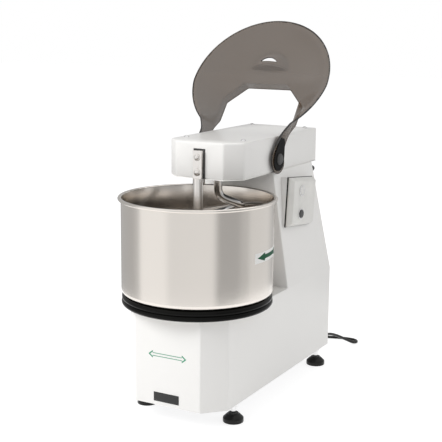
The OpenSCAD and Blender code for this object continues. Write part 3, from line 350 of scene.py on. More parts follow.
@dataclass(frozen=True)
class SmokeSheet(Finish):
    """Clear plastic sheet with a brown-grey tint; the denser it is, the less shows through it."""

    colour: Colour = (0.085, 0.055, 0.032)
    density: float = 0.69
    roughness: float = 0.14
    haze_scale: float = 5.0
    wipe_scale: tuple[float, float, float] = (40.0, 400.0, 400.0)

    def surface(self, graph: Graph) -> dict[str, Any]:
        """Tinted sheet with faint wiping marks."""
        point = graph.place()
        haze = graph.noise(point, self.haze_scale, 4.0, 0.55)
        wipes = graph.noise(graph.stretched(point, self.wipe_scale), 1.0, 2.0)
        return {
            "Base Color": graph.mix(haze, tinted(self.colour, 0.9), tinted(self.colour, 1.1)),
            "Roughness": self.roughness + haze * 0.05 + wipes * 0.03,
            "Alpha": (self.density - 0.02) + haze * 0.04,
            "IOR": 1.58,
        }


SLEEK = 0.00001  # relief of the smoothest mouldings
ENAMEL = Enamel("white_enamel", "body_paint", (0.86, 0.85, 0.83))
BRACKET_PAINT = Enamel("bracket_enamel", "body_paint", (0.86, 0.85, 0.83), roughness=0.36)
PRIMER = Enamel("grey_primer", "frame_paint", (0.30, 0.31, 0.32), roughness=0.6, peel=0.00008, coat=0.0)
CAST_PAINT = Enamel("machine_grey", "cast_paint", (0.36, 0.38, 0.40), roughness=0.5, peel=0.00025, coat=0.0)
BOWL_STEEL = Metal("bowl_stainless", "stainless", (0.80, 0.755, 0.705), roughness=0.16, cloud=0.03)
BAR_STEEL = Metal("bar_stainless", "stainless", (0.82, 0.79, 0.76), roughness=0.22, grain=Grain.UPRIGHT)
SPIRAL_CHROME = Metal(
    "spiral_chrome", "chrome", (0.60, 0.59, 0.58), roughness=0.05, marks=0.000004, cloud=0.03
)
CHROME = Metal("chrome", "chrome", (0.75, 0.75, 0.75), roughness=0.06, marks=0.000004, cloud=0.03)
TURNED = Metal("turned_steel", "steel", (0.42, 0.42, 0.43), roughness=0.34)
BRASS = Metal("brass", "brass", (0.62, 0.43, 0.18), roughness=0.3)
RING_RUBBER = Moulded(
    "ring_rubber", "rubber", (0.004, 0.004, 0.0035), roughness=0.2, shine=0.1, texture=SLEEK
)
RUBBER = Moulded("black_rubber", "rubber", (0.006, 0.006, 0.005), roughness=0.3, shine=0.3)
GLOSS_BLACK = Moulded("gloss_black", "black_plastic", (0.012, 0.012, 0.012), roughness=0.18, texture=SLEEK)
DARK = Moulded("dark_plastic", "dark_plastic", (0.008, 0.008, 0.008), roughness=0.35, shine=0.3)
STRAP_BLACK = Moulded("strap_black", "dark_plastic", (0.004, 0.004, 0.004), roughness=0.55, shine=0.1)
OFF_WHITE = Moulded(
    "off_white_plastic", "white_plastic", (0.76, 0.75, 0.72), roughness=0.33, texture=2 * SLEEK
)
GREY_PLASTIC = Moulded("grey_plastic", "grey_plastic", (0.45, 0.45, 0.45), roughness=0.5)
SMOKE = SmokeSheet("smoke_sheet", "guard")
# near-black sheet finish for the lid's cut edges and a thin band along its rim: painted shade for the dark line
# along the sheet's edges
SMOKE_PAINTED_SHADE = SmokeSheet("smoke_edge_painted_shade", "guard", (0.006, 0.004, 0.003), density=0.97, roughness=0.3)
GREEN_INK = Moulded("green_ink", "white_plastic", (0.03, 0.30, 0.16), roughness=0.4, texture=SLEEK)
DARK_GREEN_INK = Moulded(
    "dark_green_ink", "white_plastic", (0.006, 0.085, 0.038), roughness=0.5, shine=0.15
)
LABEL_WHITE = Moulded("label_white", "white_plastic", (0.82, 0.82, 0.80), roughness=0.4, texture=SLEEK)


# ---------------------------------------------------------------- mesh building


def add_object(name: str, mesh: bpy.types.Mesh) -> bpy.types.Object:
    """Puts a mesh into the scene."""
    thing = bpy.data.objects.new(name, mesh)
    bpy.context.scene.collection.objects.link(thing)
    return thing


def shade(mesh: bpy.types.Mesh, angle: float = 32.0) -> None:
    """Shades a mesh smooth, apart from edges sharper than an angle in degrees."""
    mesh.polygons.foreach_set("use_smooth", [True] * len(mesh.polygons))
    mesh.set_sharp_from_angle(angle=math.radians(angle))
    mesh.update()


def from_bmesh(name: str, bm: bmesh.types.BMesh, angle: float = 32.0) -> bpy.types.Object:
    """Turns a bmesh into a shaded object and frees it.

    Args:
        name: The piece's name.
        bm: The finished mesh.
        angle: Edges sharper than this, in degrees, stay sharp.

    Returns:
        The new object.
    """
    mesh = bpy.data.meshes.new(name)
    bmesh.ops.recalc_face_normals(bm, faces=bm.faces[:])
    bm.to_mesh(mesh)
    bm.free()
    shade(mesh, angle)
    return add_object(name, mesh)


def dressed(
    thing: bpy.types.Object, body: str, finish: Finish | Sequence[Finish], replaces: Iterable[str] = ()
) -> bpy.types.Object:
    """Gives a piece its finish and its body, and hides the CAD nodes that it stands for.

    Args:
        thing: The piece, in place.
        body: The CAD body that it rides on.
        finish: One finish, or one for each material index.
        replaces: Names of the CAD nodes that it stands for.

    Returns:
        The same piece.
    """
    finishes = [finish] if isinstance(finish, Finish) else list(finish)
    for one in finishes:
        thing.data.materials.append(one.material())
    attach(thing, body)
    if replaces:
        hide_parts(*replaces)
    LOG.info("made %s on %s", thing.name, body)
    return thing


def repaint(finish: Finish, *nodes: str) -> None:
    """Gives CAD nodes whose shape stays a better material."""
    for name in nodes:
        thing = frame["nodes"][name]
        thing.data.materials.clear()
        thing.data.materials.append(finish.material())
        LOG.info("finished %s", name)


def body_of(node: str) -> str:
    """The name of the CAD body that holds a node."""
    return next(body for body, nodes in frame["record"]["behaviour"]["bodies"].items() if node in nodes)


def node_bmesh(node: str) -> bmesh.types.BMesh:
    """A CAD node's mesh, welded and with its flat faces joined."""
    bm = bmesh.new()
    bm.from_mesh(frame["nodes"][node].data)
    bmesh.ops.remove_doubles(bm, verts=bm.verts[:], dist=0.002 * MM)
    bmesh.ops.dissolve_limit(bm, angle_limit=math.radians(0.4), verts=bm.verts[:], edges=bm.edges[:])
    return bm


def soften(
    bm: bmesh.types.BMesh, radius: float, segments: int = 3, min_length: float = 0.0, min_area: float = 0.0
) -> None:
    """Rounds the sharp edges of a mesh.

    Args:
        bm: The mesh.
        radius: Radius of the rounding.
        segments: Faces across each rounding.
        min_length: Shorter edges stay as they are.
        min_area: Edges of smaller faces stay as they are.
    """
    sharp = [
        edge
        for edge in bm.edges
        if edge.is_manifold
        and edge.calc_face_angle(0.0) > math.radians(18)
        and edge.calc_length() >= min_length
        and min(face.calc_area() for face in edge.link_faces) >= min_area
    ]
    bmesh.ops.bevel(
        bm, geom=sharp, offset=radius, offset_type="OFFSET", segments=segments, profile=0.5, affect="EDGES",
        clamp_overlap=min_length == 0.0,
    )


def rounded_node(node: str, finish: Finish, radius: float, **limits: float) -> bpy.types.Object:
    """A copy of a CAD node with rounded edges, which stands for it.

    Args:
        node: The CAD node.
        finish: Its finish.
        radius: Radius of the rounding.
        **limits: Limits that soften takes.

    Returns:
        The new piece.
    """
    bm = node_bmesh(node)
    soften(bm, radius, **limits)
    return dressed(from_bmesh(f"{node}_shape", bm), body_of(node), finish, [node])


def lathe(
    profile: Sequence[tuple[float, float]], centre: Vector, segments: int = 192, closed: bool = True
) -> bmesh.types.BMesh:
    """Turns a profile round an upright axis.

    Args:
        profile: Radius and height of each point.
        centre: A point on the axis at height 0 of the profile.
        segments: Faces around.
        closed: Whether the profile is a loop.

    Returns:
        The mesh.
    """
    bm = bmesh.new()
    rings = []
    for radius, height in profile:
        if radius < 1e-6:
            rings.append([bm.verts.new(centre + Vector((0, 0, height)))] * segments)
            continue
        turns = (2 * math.pi * index / segments for index in range(segments))
        rings.append([
            bm.verts.new(centre + Vector((radius * math.cos(turn), radius * math.sin(turn), height)))
            for turn in turns
        ])
    pairs = list(zip(rings, rings[1:])) + ([(rings[-1], rings[0])] if closed else [])
    for low, high in pairs:
        for index in range(segments):
            after = (index + 1) % segments
            corners = dict.fromkeys([low[index], low[after], high[after], high[index]])
            if len(corners) > 2:
                bm.faces.new(list(corners))
    return bm


def arc(
    centre: tuple[float, float], size: float, start: float, stop: float, steps: int, flat: float = 1.0
) -> list[tuple[float, float]]:
    """Points of an arc in a plane.

    Args:
        centre: Its centre.
        size: Its radius.
        start: Angle of the first point, in degrees.
        stop: Angle of the last point.
        steps: Stretches between them.
        flat: Height of the arc against its width.

    Returns:
        The points.
    """
    turns = (math.radians(start + (stop - start) * k / steps) for k in range(steps + 1))
    return [(centre[0] + size * math.cos(a), centre[1] + size * flat * math.sin(a)) for a in turns]


def sweep(
    path: Path, radius: Callable[[int], float], sides: int, round_end: bool = True
) -> bmesh.types.BMesh:
    """A round tube along a path.

    Args:
        path: Points of the centre line.
        radius: Radius at each point's number.
        sides: Faces around.
        round_end: Whether the last end is a small dome.

    Returns:
        The mesh.
    """
    bm = bmesh.new()
    count = len(path)
    tangents = [(path[min(i + 1, count - 1)] - path[max(i - 1, 0)]).normalized() for i in range(count)]
    side = Vector((1, 0, 0)) if abs(tangents[0].z) > 0.9 else Vector((0, 0, 1))
    rings = []
    for index, (point, tangent) in enumerate(zip(path, tangents)):
        side = (side - side.dot(tangent) * tangent).normalized()
        other = tangent.cross(side)
        rings.append([
            bm.verts.new(point + radius(index) * (math.cos(a) * side + math.sin(a) * other))
            for a in (2 * math.pi * k / sides for k in range(sides))
        ])
    for low, high in zip(rings, rings[1:]):
        for k in range(sides):
            bm.faces.new([low[k], low[(k + 1) % sides], high[(k + 1) % sides], high[k]])
    bm.faces.new(rings[0][::-1])
    if round_end:
        tip = bm.verts.new(path[-1] + tangents[-1] * radius(count - 1) * 0.35)
        for k in range(sides):
            bm.faces.new([rings[-1][k], rings[-1][(k + 1) % sides], tip])
    else:
        bm.faces.new(rings[-1])
    return bm


def extruded(outline: Sequence[Vector], depth: Vector) -> bmesh.types.BMesh:
    """A flat outline pulled out along a vector.

    Args:
        outline: Corners of the outline, in space.
        depth: How far and where it is pulled.

    Returns:
        The closed mesh.
    """
    bm = bmesh.new()
    low = [bm.verts.new(point) for point in outline]
    high = [bm.verts.new(point + depth) for point in outline]
    bm.faces.new(low[::-1])
    bm.faces.new(high)
    for index in range(len(outline)):
        after = (index + 1) % len(outline)
        bm.faces.new([low[index], low[after], high[after], high[index]])
    return bm


def fillet(points: Sequence[Vector], radius: float, steps: int = 6) -> Path:
    """Rounds the inner corners of an open line with arcs.

    Args:
        points: Corners of the line.
        radius: Radius of the arcs.
        steps: Stretches in each arc.

    Returns:
        The points of the rounded line.
    """
    line = [points[0]]
    for before, corner, after in zip(points, points[1:], points[2:]):
        back = (before - corner).normalized()
        ahead = (after - corner).normalized()
        half = back.angle(ahead) / 2
        centre = corner + (back + ahead).normalized() * (radius / math.sin(half))
        start = corner + back * (radius / math.tan(half)) - centre
        end = corner + ahead * (radius / math.tan(half)) - centre
        turn = start.rotation_difference(end)
        for step in range(steps + 1):
            line.append(centre + Quaternion().slerp(turn, step / steps) @ start)
    return line + [points[-1]]


def smooth_path(points: Sequence[Vector], steps: int) -> Path:
    """A Catmull-Rom curve through points.

    Args:
        points: Points that the curve passes.
        steps: Stretches between two of them.

    Returns:
        Points of the curve.
    """
    ends = [points[0] * 2 - points[1], *points, points[-1] * 2 - points[-2]]
    curve = []
    for a, b, c, d in zip(ends, ends[1:], ends[2:], ends[3:]):
        for step in range(steps):
            t = step / steps
            bend = 2 * a - 5 * b + 4 * c - d
            twist = 3 * b - a - 3 * c + d
            curve.append(0.5 * (2 * b + (c - a) * t + bend * t * t + twist * t**3))
    return curve + [points[-1]]


def thicken(bm: bmesh.types.BMesh, thickness: float) -> None:
    """Turns an open sheet into a solid, on the side that its faces look to.

    The cut edges get material 1, which on the lid is its near-black edge finish: painted shade along the sheet's
    edges.

    Args:
        bm: The sheet.
        thickness: Its thickness.
    """
    bm.normal_update()
    rim = [tuple(edge.verts) for edge in bm.edges if edge.is_boundary]
    faces = bm.faces[:]
    partner = {vert: bm.verts.new(vert.co + vert.normal * thickness) for vert in bm.verts[:]}
    for face in faces:
        bm.faces.new([partner[vert] for vert in face.verts]).material_index = face.material_index
    bmesh.ops.reverse_faces(bm, faces=faces)
    for a, b in rim:
        bm.faces.new([a, b, partner[b], partner[a]]).material_index = 1
    bmesh.ops.recalc_face_normals(bm, faces=bm.faces[:])


def eased(share: float) -> float:
    """A share from 0 to 1 that starts and ends gently."""
    share = min(max(share, 0.0), 1.0)
    return share * share * (3 - 2 * share)


def through(points: Curve, at: float) -> float:
    """Height of a smooth curve through points given in millimetres.

    Args:
        points: The curve's points, in the order of their place.
        at: The place along it, in metres.

    Returns:
        The curve's height there, in metres.
    """
    place = at / MM
    k = max(i for i in range(len(points) - 1) if points[i][0] <= place or i == 0)
    (x0, y0), (x1, y1) = points[k], points[k + 1]
    before = points[max(k - 1, 0)]
    after = points[min(k + 2, len(points) - 1)]
    span = x1 - x0
    start = (y1 - before[1]) / (x1 - before[0]) * span
    end = (after[1] - y0) / (after[0] - x0) * span
    t = min(max((place - x0) / span, 0.0), 1.0)
    near = y0 * (1 + 2 * t) + start * t
    far = y1 * (3 - 2 * t) + end * (t - 1)
    return (near * (1 - t) ** 2 + far * t * t) * MM


# ---------------------------------------------------------------- shared places


@dataclass(frozen=True)
class Layout:
    """Places that several sub-assemblies share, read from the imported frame."""

    bowl: Vector
    spiral: Vector
    hinge: Vector
    lid_travel: float
    shell: tuple[Vector, Vector]

    @classmethod
    def from_frame(cls) -> "Layout":
        """Reads the joints and the boxes of the main nodes."""
        joints = {joint["name"]: joint for joint in frame["joints"]}
        return cls(
            bowl=Vector((*joints["bowl_spin"]["pos_m"][:2], 0.0)),
            spiral=Vector((*joints["spiral_spin"]["pos_m"][:2], 0.0)),
            hinge=Vector(joints["lid_hinge"]["pos_m"]),
            lid_travel=math.radians(joints["lid_hinge"]["range_deg"][1]),
            shell=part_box("body_shell"),
        )


Rounded = tuple[tuple[str, Finish, float], ...]
Kept = tuple[tuple[Finish, tuple[str, ...]], ...]


@dataclass
class SubAssembly:
    """A group of pieces, with the CAD nodes in it that need no shape of their own.

    Attributes:
        rounded: Nodes that get rounded edges, each with its finish and the radius in millimetres.
        kept: Nodes whose shape stays, by their finish.
    """

    rounded: Rounded = ()
    kept: Kept = ()

    def finish_nodes(self) -> None:
        """Rounds and paints the nodes of both lists."""
        for node, finish, radius in self.rounded:
            rounded_node(node, finish, radius * MM)
        for finish, nodes in self.kept:
            repaint(finish, *nodes)

    def build(self, layout: Layout) -> None:
        """Makes the pieces; a group without shapes of its own only finishes its nodes.

        Args:
            layout: The shared places.
        """
        self.finish_nodes()


# ---------------------------------------------------------------- camera and studio


@dataclass(frozen=True)
class Viewpoint:
    """The camera, placed from the bowl's axis."""

    offset: Vector = field(default_factory=lambda: Vector((1.3123, -2.2601, 1.0209)))
    azimuth: float = 28.826
    fall: float = 11.169
    roll: float = 0.516
    focal_pixels: float = 1035.8
    frame_pixels: int = 442
    sensor: float = 36.0

    def build(self, layout: Layout) -> None:
        """Makes the camera.

        Args:
            layout: The shared places.
        """
        data = bpy.data.cameras.new("camera")
        data.sensor_width = self.sensor
        data.lens = self.sensor * self.focal_pixels / self.frame_pixels
        data.clip_end = 50.0
        camera = bpy.data.objects.new("camera", data)
        bpy.context.scene.collection.objects.link(camera)
        camera.matrix_world = Matrix.Translation(layout.bowl + self.offset) @ self._turn()
        bpy.context.scene.camera = camera

    def _turn(self) -> Matrix:
        """The camera's turn: its own axes as columns."""
        azimuth, fall, roll = (math.radians(value) for value in (self.azimuth, self.fall, self.roll))
        ahead = Vector((
            -math.sin(azimuth) * math.cos(fall), math.cos(azimuth) * math.cos(fall), -math.sin(fall)
        ))
        level = Vector((math.cos(azimuth), math.sin(azimuth), 0.0))
        upright = level.cross(ahead)
        right = level * math.cos(roll) + upright * math.sin(roll)
        up = upright * math.cos(roll) - level * math.sin(roll)
        return Matrix((right, up, -ahead)).transposed().to_4x4()


@dataclass(frozen=True)
class Lamp:
    """A soft rectangular lamp aimed at the mixer."""

    name: str
    place: tuple[float, float, float]
    size: float
    power: float
    aim: tuple[float, float, float] = (0.0, 0.0, 0.5)
    glints: bool = True

    def build(self) -> None:
        """Makes the lamp; one without glints doesn't show in polished surfaces."""
        data = bpy.data.lights.new(self.name, "AREA")
        data.shape = "SQUARE"
        data.size = self.size
        data.energy = self.power
        lamp = bpy.data.objects.new(self.name, data)
        bpy.context.scene.collection.objects.link(lamp)
        lamp.location = self.place
        lamp.visible_glossy = self.glints
        lamp.rotation_mode = "QUATERNION"
        lamp.rotation_quaternion = (Vector(self.place) - Vector(self.aim)).to_track_quat("Z", "Y")


@dataclass(frozen=True)
class Studio:
    """Pale floor, white surroundings and soft lamps."""

    floor_size: float = 30.0
    floor_colour: Colour = (0.84, 0.84, 0.84)
    floor_glow: float = 1.45
    glow_share: float = 0.55
    sky: float = 0.56
    tent_radius: float = 1.15
    tent_height: float = 1.7
    tent_bands: tuple[tuple[float, float], ...] = (
        (-180, 0.50), (-156, 0.50), (-143, 0.62), (-137, 1.0), (-103, 1.0), (-95, 0.84), (-46, 0.86),
        (-38, 0.46), (-12, 0.46), (-4, 0.56), (4, 0.58), (12, 0.74), (55, 0.76), (82, 0.50), (130, 0.45),
        (180, 0.50),
    )
    lamps: tuple[Lamp, ...] = (
        Lamp("key", (-1.6, -2.6, 2.6), 1.8, 88.0, glints=False),
        Lamp("fill", (2.7, 0.9, 1.9), 2.2, 17.0),
        Lamp("back", (-0.8, 2.8, 2.6), 2.0, 22.0),
    )

    def build(self) -> None:
        """Makes the floor, the world and the lamps."""
        self._floor()
        self._tent()
        self._world()
        for lamp in self.lamps:
            lamp.build()
        bpy.context.scene.view_settings.view_transform = "Standard"

    def _floor(self) -> None:
        """A wide plane with a faint grain, which the camera sees as white where no shadow falls."""
        bm = bmesh.new()
        bmesh.ops.create_grid(bm, x_segments=2, y_segments=2, size=self.floor_size / 2)
        floor = from_bmesh("floor", bm)
        material, graph = new_material("pale_floor")
        grain = graph.noise(graph.place(), 30.0, 3.0)
        paint = graph.mix(grain, tinted(self.floor_colour, 0.985), tinted(self.floor_colour, 1.015))
        matt = graph.add("ShaderNodeBsdfPrincipled", {}, {"Base Color": paint, "Roughness": 0.85})
        light = {"Color": (1.0, 1.0, 1.0, 1.0), "Strength": self.floor_glow}
        glow = graph.add("ShaderNodeEmission", {}, light)
        share = graph.seen() * self.glow_share
        seen = graph.add("ShaderNodeMixShader", {}, {0: share, 1: matt, 2: glow})
        graph.add("ShaderNodeOutputMaterial", {}, {"Surface": seen})
        floor.data.materials.append(material)

    def _tent(self) -> None:
        """Light and dark cards in a ring round the mixer, which only polished surfaces reflect."""
        bm = bmesh.new()
        bmesh.ops.create_cone(
            bm, cap_ends=False, segments=96, radius1=self.tent_radius, radius2=self.tent_radius,
            depth=self.tent_height, matrix=Matrix.Translation((0, 0, self.tent_height / 2 + 1 * MM)),
        )
        tent = from_bmesh("card_ring", bm)
        material, graph = new_material("cards")
        across = graph.add("ShaderNodeSeparateXYZ", {}, {0: graph.place()}, output="X")
        turn = graph.add("ShaderNodeMath", {"operation": "ARCTAN2"}, {0: across.other("Y"), 1: across})
        stops = [(0.5 + angle / 360, (level, level, level)) for angle, level in self.tent_bands]
        cards = graph.add("ShaderNodeValToRGB", {"stops": stops}, {0: turn / math.tau + 0.5})
        glow = graph.add("ShaderNodeEmission", {}, {"Color": cards, "Strength": 1.0})
        graph.add("ShaderNodeOutputMaterial", {}, {"Surface": glow})
        tent.data.materials.append(material)
        for sight in ("camera", "diffuse", "transmission", "volume_scatter", "shadow"):
            setattr(tent, f"visible_{sight}", False)

    def _world(self) -> None:
        """Even light, with a white background for the eye, for metal and for clear sheet."""
        world = bpy.data.worlds.new("world")
        bpy.context.scene.world = world
        world.use_nodes = True
        graph = Graph(world.node_tree)
        strength = self.sky + graph.seen() * (1.0 - self.sky)
        sky = graph.add("ShaderNodeBackground", {}, {"Color": (1.0, 1.0, 1.0, 1.0), "Strength": strength})
        graph.add("ShaderNodeOutputWorld", {}, {"Surface": sky})


# ---------------------------------------------------------------- power cord


@dataclass
class PowerCord(SubAssembly):
    """Rubber cord, wound behind the base, with its gland and its plug.

    The places are in millimetres from the bowl's axis and the floor.
    """

    diameter: float = 8.5
    sides: int = 12
    route: tuple[tuple[float, float, float], ...] = (
        (122, 545, 64), (122, 566, 64), (123, 588, 62), (126, 610, 57), (130, 632, 49), (136, 654, 39),
        (143, 675, 28), (151, 695, 17), (159, 712, 8), (164, 728, 4.6), (160, 741, 4.4), (148, 748.4, 4.4),
        (130, 749.4, 4.4), (108, 747, 4.4), (86, 741, 4.4), (64, 733, 4.4), (42, 725, 4.4), (20, 717, 4.4),
        (-2, 710, 4.4), (-26, 704, 4.4),
    )
    plug_route: tuple[tuple[float, float, float], ...] = (
        (-95.5, 630, 14), (-93.5, 614, 17), (-93, 600, 18)
    )
    coil_centre: tuple[float, float] = (-42.0, 646.0)
    coil_radius: float = 46.5
    coil_start: float = 102.0
    coil_turns: float = 4 + 439 / 360
    coil_floor: float = 4.4
    turn_steps: int = 26
    row_pitch: float = 1.02
    layer_pitch: float = 1.01

    def build(self, layout: Layout) -> None:
        """Makes the cord and finishes the pieces on it.

        Args:
            layout: The shared places.
        """
        line = self._centre_line(layout)
        thickness = self.diameter * MM
        tube = sweep(line, lambda index: thickness / 2, self.sides, round_end=False)
        cord = dressed(from_bmesh("cord", tube, 60.0), "base", RUBBER, ["power_cord", "cord_coil"])
        length = sum((b - a).length for a, b in zip(line, line[1:]))
        plug = rounded_node("plug", RUBBER, 0.7 * MM)
        gland = rounded_node("cable_gland", GREY_PLASTIC, 0.5 * MM)
        LOG.info("cord length %.3f m", length)

    def _centre_line(self, layout: Layout) -> Path:
        """The whole cord: out of the gland, along the floor, round its coil and to the plug.

        Args:
            layout: The shared places.

        Returns:
            The line's points, in metres.
        """
        start = smooth_path([Vector(point) for point in self.route], 3)
        centre = Vector((*self.coil_centre, 0.0))
        coil = []
        for index in range(round(self.turn_steps * self.coil_turns) + 1):
            turn = index / self.turn_steps
            angle = math.radians(self.coil_start) + 2 * math.pi * turn
            layer, row = self._turn_place(turn)
            radius = self.coil_radius + (1 - row) * self.diameter * self.row_pitch
            height = self.coil_floor + layer * self.diameter * self.layer_pitch
            coil.append(centre + Vector((radius * math.cos(angle), radius * math.sin(angle), height)))
        end = smooth_path([coil[-1], *[Vector(point) for point in self.plug_route]], 4)[1:]
        return [(point * MM) + layout.bowl for point in start + coil + end]

    @staticmethod
    def _turn_place(turn: float) -> tuple[float, float]:
        """Layer and row of the coil at a number of turns: three turns inwards, then out again on top."""
        row = eased((turn - 0.75) * 4) + eased((turn - 1.75) * 4) - eased((turn - 3.6) * 2.5)
        row -= eased((turn - 4.5) * 2.5)
        return eased((turn - 2.55) * 2.4), row


# ---------------------------------------------------------------- cabinet


@dataclass
class Cabinet(SubAssembly):
    """Base and column: the painted sheet, its rear cover, badge and printed arrow.

    The sheet's edges shorter than fold_length, or beside a face smaller than fold_face, stay sharp.
    """

    rounded: Rounded = (
        ("badge_plate", GLOSS_BLACK, 0.4),
        ("rear_cover_knobs", DARK, 0.6),
        ("rear_cover_screws", TURNED, 0.4),
    )
    kept: Kept = ((TURNED, ("bottom_plate",)), (PRIMER, ("frame",)))
    fold: float = 3.0 * MM
    cover_fold: float = 1.2 * MM
    fold_length: float = 40 * MM
    fold_face: float = 0.004
    arrow_height: float = 183 * MM
    arrow_span: float = 111 * MM
    arrow_body: float = 9 * MM
    arrow_head: float = 20 * MM
    arrow_slope: float = 0.62
    arrow_hollow: tuple[float, float, float] = (0.91, 0.985, 0.62)
    ink: float = 0.25 * MM

    def build(self, layout: Layout) -> None:
        """Makes every outer piece of the base and the column.

        Args:
            layout: The shared places.
        """
        length = self.fold_length
        rounded_node("body_shell", ENAMEL, self.fold, min_length=length, min_area=self.fold_face)
        rounded_node("rear_cover", ENAMEL, self.cover_fold, min_length=length)
        self.finish_nodes()
        self._arrow(layout)

    def _arrow_lines(self) -> tuple[Curve, Curve]:
        """The outer and the inner outline of the double-headed arrow."""
        half, body, head = self.arrow_span / 2, self.arrow_body / 2, self.arrow_head / 2
        neck = half - self.arrow_head * self.arrow_slope
        right = [(half, 0.0), (neck, head), (neck, body)]
        line = right + [(-x, z) for x, z in right[::-1]]
        line += [(x, -z) for x, z in line[::-1] if z]
        outer = [point for index, point in enumerate(line) if point not in line[:index]]
        tip, side, height = self.arrow_hollow
        inner = [(x * (tip if abs(x) > neck else side), z * height) for x, z in outer]
        return tuple(outer), tuple(inner)

    def _arrow(self, layout: Layout) -> None:
        """Prints the plain arrow in outline on the front face.

        Args:
            layout: The shared places.
        """
        y = layout.shell[0].y
        bm = bmesh.new()
        rings = [
            [bm.verts.new((x, y - self.ink, self.arrow_height + z)) for x, z in line]
            for line in self._arrow_lines()
        ]
        backs = [[bm.verts.new(v.co + Vector((0, self.ink * 0.8, 0))) for v in ring] for ring in rings]
        for k in range(len(rings[0])):
            after = (k + 1) % len(rings[0])
            bm.faces.new([rings[0][k], rings[0][after], rings[1][after], rings[1][k]])
            bm.faces.new([backs[0][k], backs[0][after], backs[1][after], backs[1][k]][::-1])
            for ring, back in zip(rings, backs):
                bm.faces.new([ring[k], ring[after], back[after], back[k]])
        dressed(from_bmesh("front_arrow", bm), "base", GREEN_INK)


# ---------------------------------------------------------------- head and breaker bar


@dataclass
class Head(SubAssembly):
    """The head's hood and plate, and the breaker bar that it holds.

    The hood's edges shorter than hood_length, or beside a face smaller than hood_face, stay sharp.
    """

    rounded: Rounded = (("hood_screws", CHROME, 0.5), ("breaker_bar", BAR_STEEL, 0.8))
    kept: Kept = (
        (PRIMER, ("head_plate", "bar_bracket", "hinge_brackets")),
        (CAST_PAINT, ("spiral_housing",)),
        (RUBBER, ("spiral_seal",)),
    )
    hood_radius: float = 4.5 * MM
    hood_length: float = 30 * MM
    hood_face: float = 0.001
    bolt_shank: float = 4 * MM
    bolt_profile: Curve = (
        (6.2, 4), (6.1, 8.9), (4.2, 8.9), (4.0, 8.6), (3.9, 6.6), (2.4, 6.5), (1.5, 5.9), (0.9, 4.8),
        (0.5, 3.2), (0.35, 1.6),
    )

    def build(self, layout: Layout) -> None:
        """Makes the head's pieces.

        Args:
            layout: The shared places; not used.
        """
        limits = {"min_length": self.hood_length, "min_area": self.hood_face}
        rounded_node("head_hood", ENAMEL, self.hood_radius, **limits)
        self.finish_nodes()
        dressed(self._bolts(), "base", BAR_STEEL, ["breaker_bar_bolts"])

    def _bolts(self) -> bpy.types.Object:
        """The bar's two bolts: shank, washer and low domed head, from the back to the front."""
        low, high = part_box("breaker_bar_bolts")
        washer = (high.x - low.x) / 2
        bm = bmesh.new()
        for z in (low.z + washer, high.z - washer):
            path = [Vector((0.0, high.y, z))]
            path += [Vector((0.0, low.y + depth * MM, z)) for depth, _ in self.bolt_profile]
            radii = [self.bolt_shank, *(radius * MM for _, radius in self.bolt_profile)]
            one = sweep(path, lambda index, radii=radii: radii[index], 36)
            mesh = bpy.data.meshes.new("bolt")
            one.to_mesh(mesh)
            one.free()
            bm.from_mesh(mesh)
            bpy.data.meshes.remove(mesh)
        return from_bmesh("breaker_bar_bolts_shape", bm, 40.0)


# ---------------------------------------------------------------- bowl


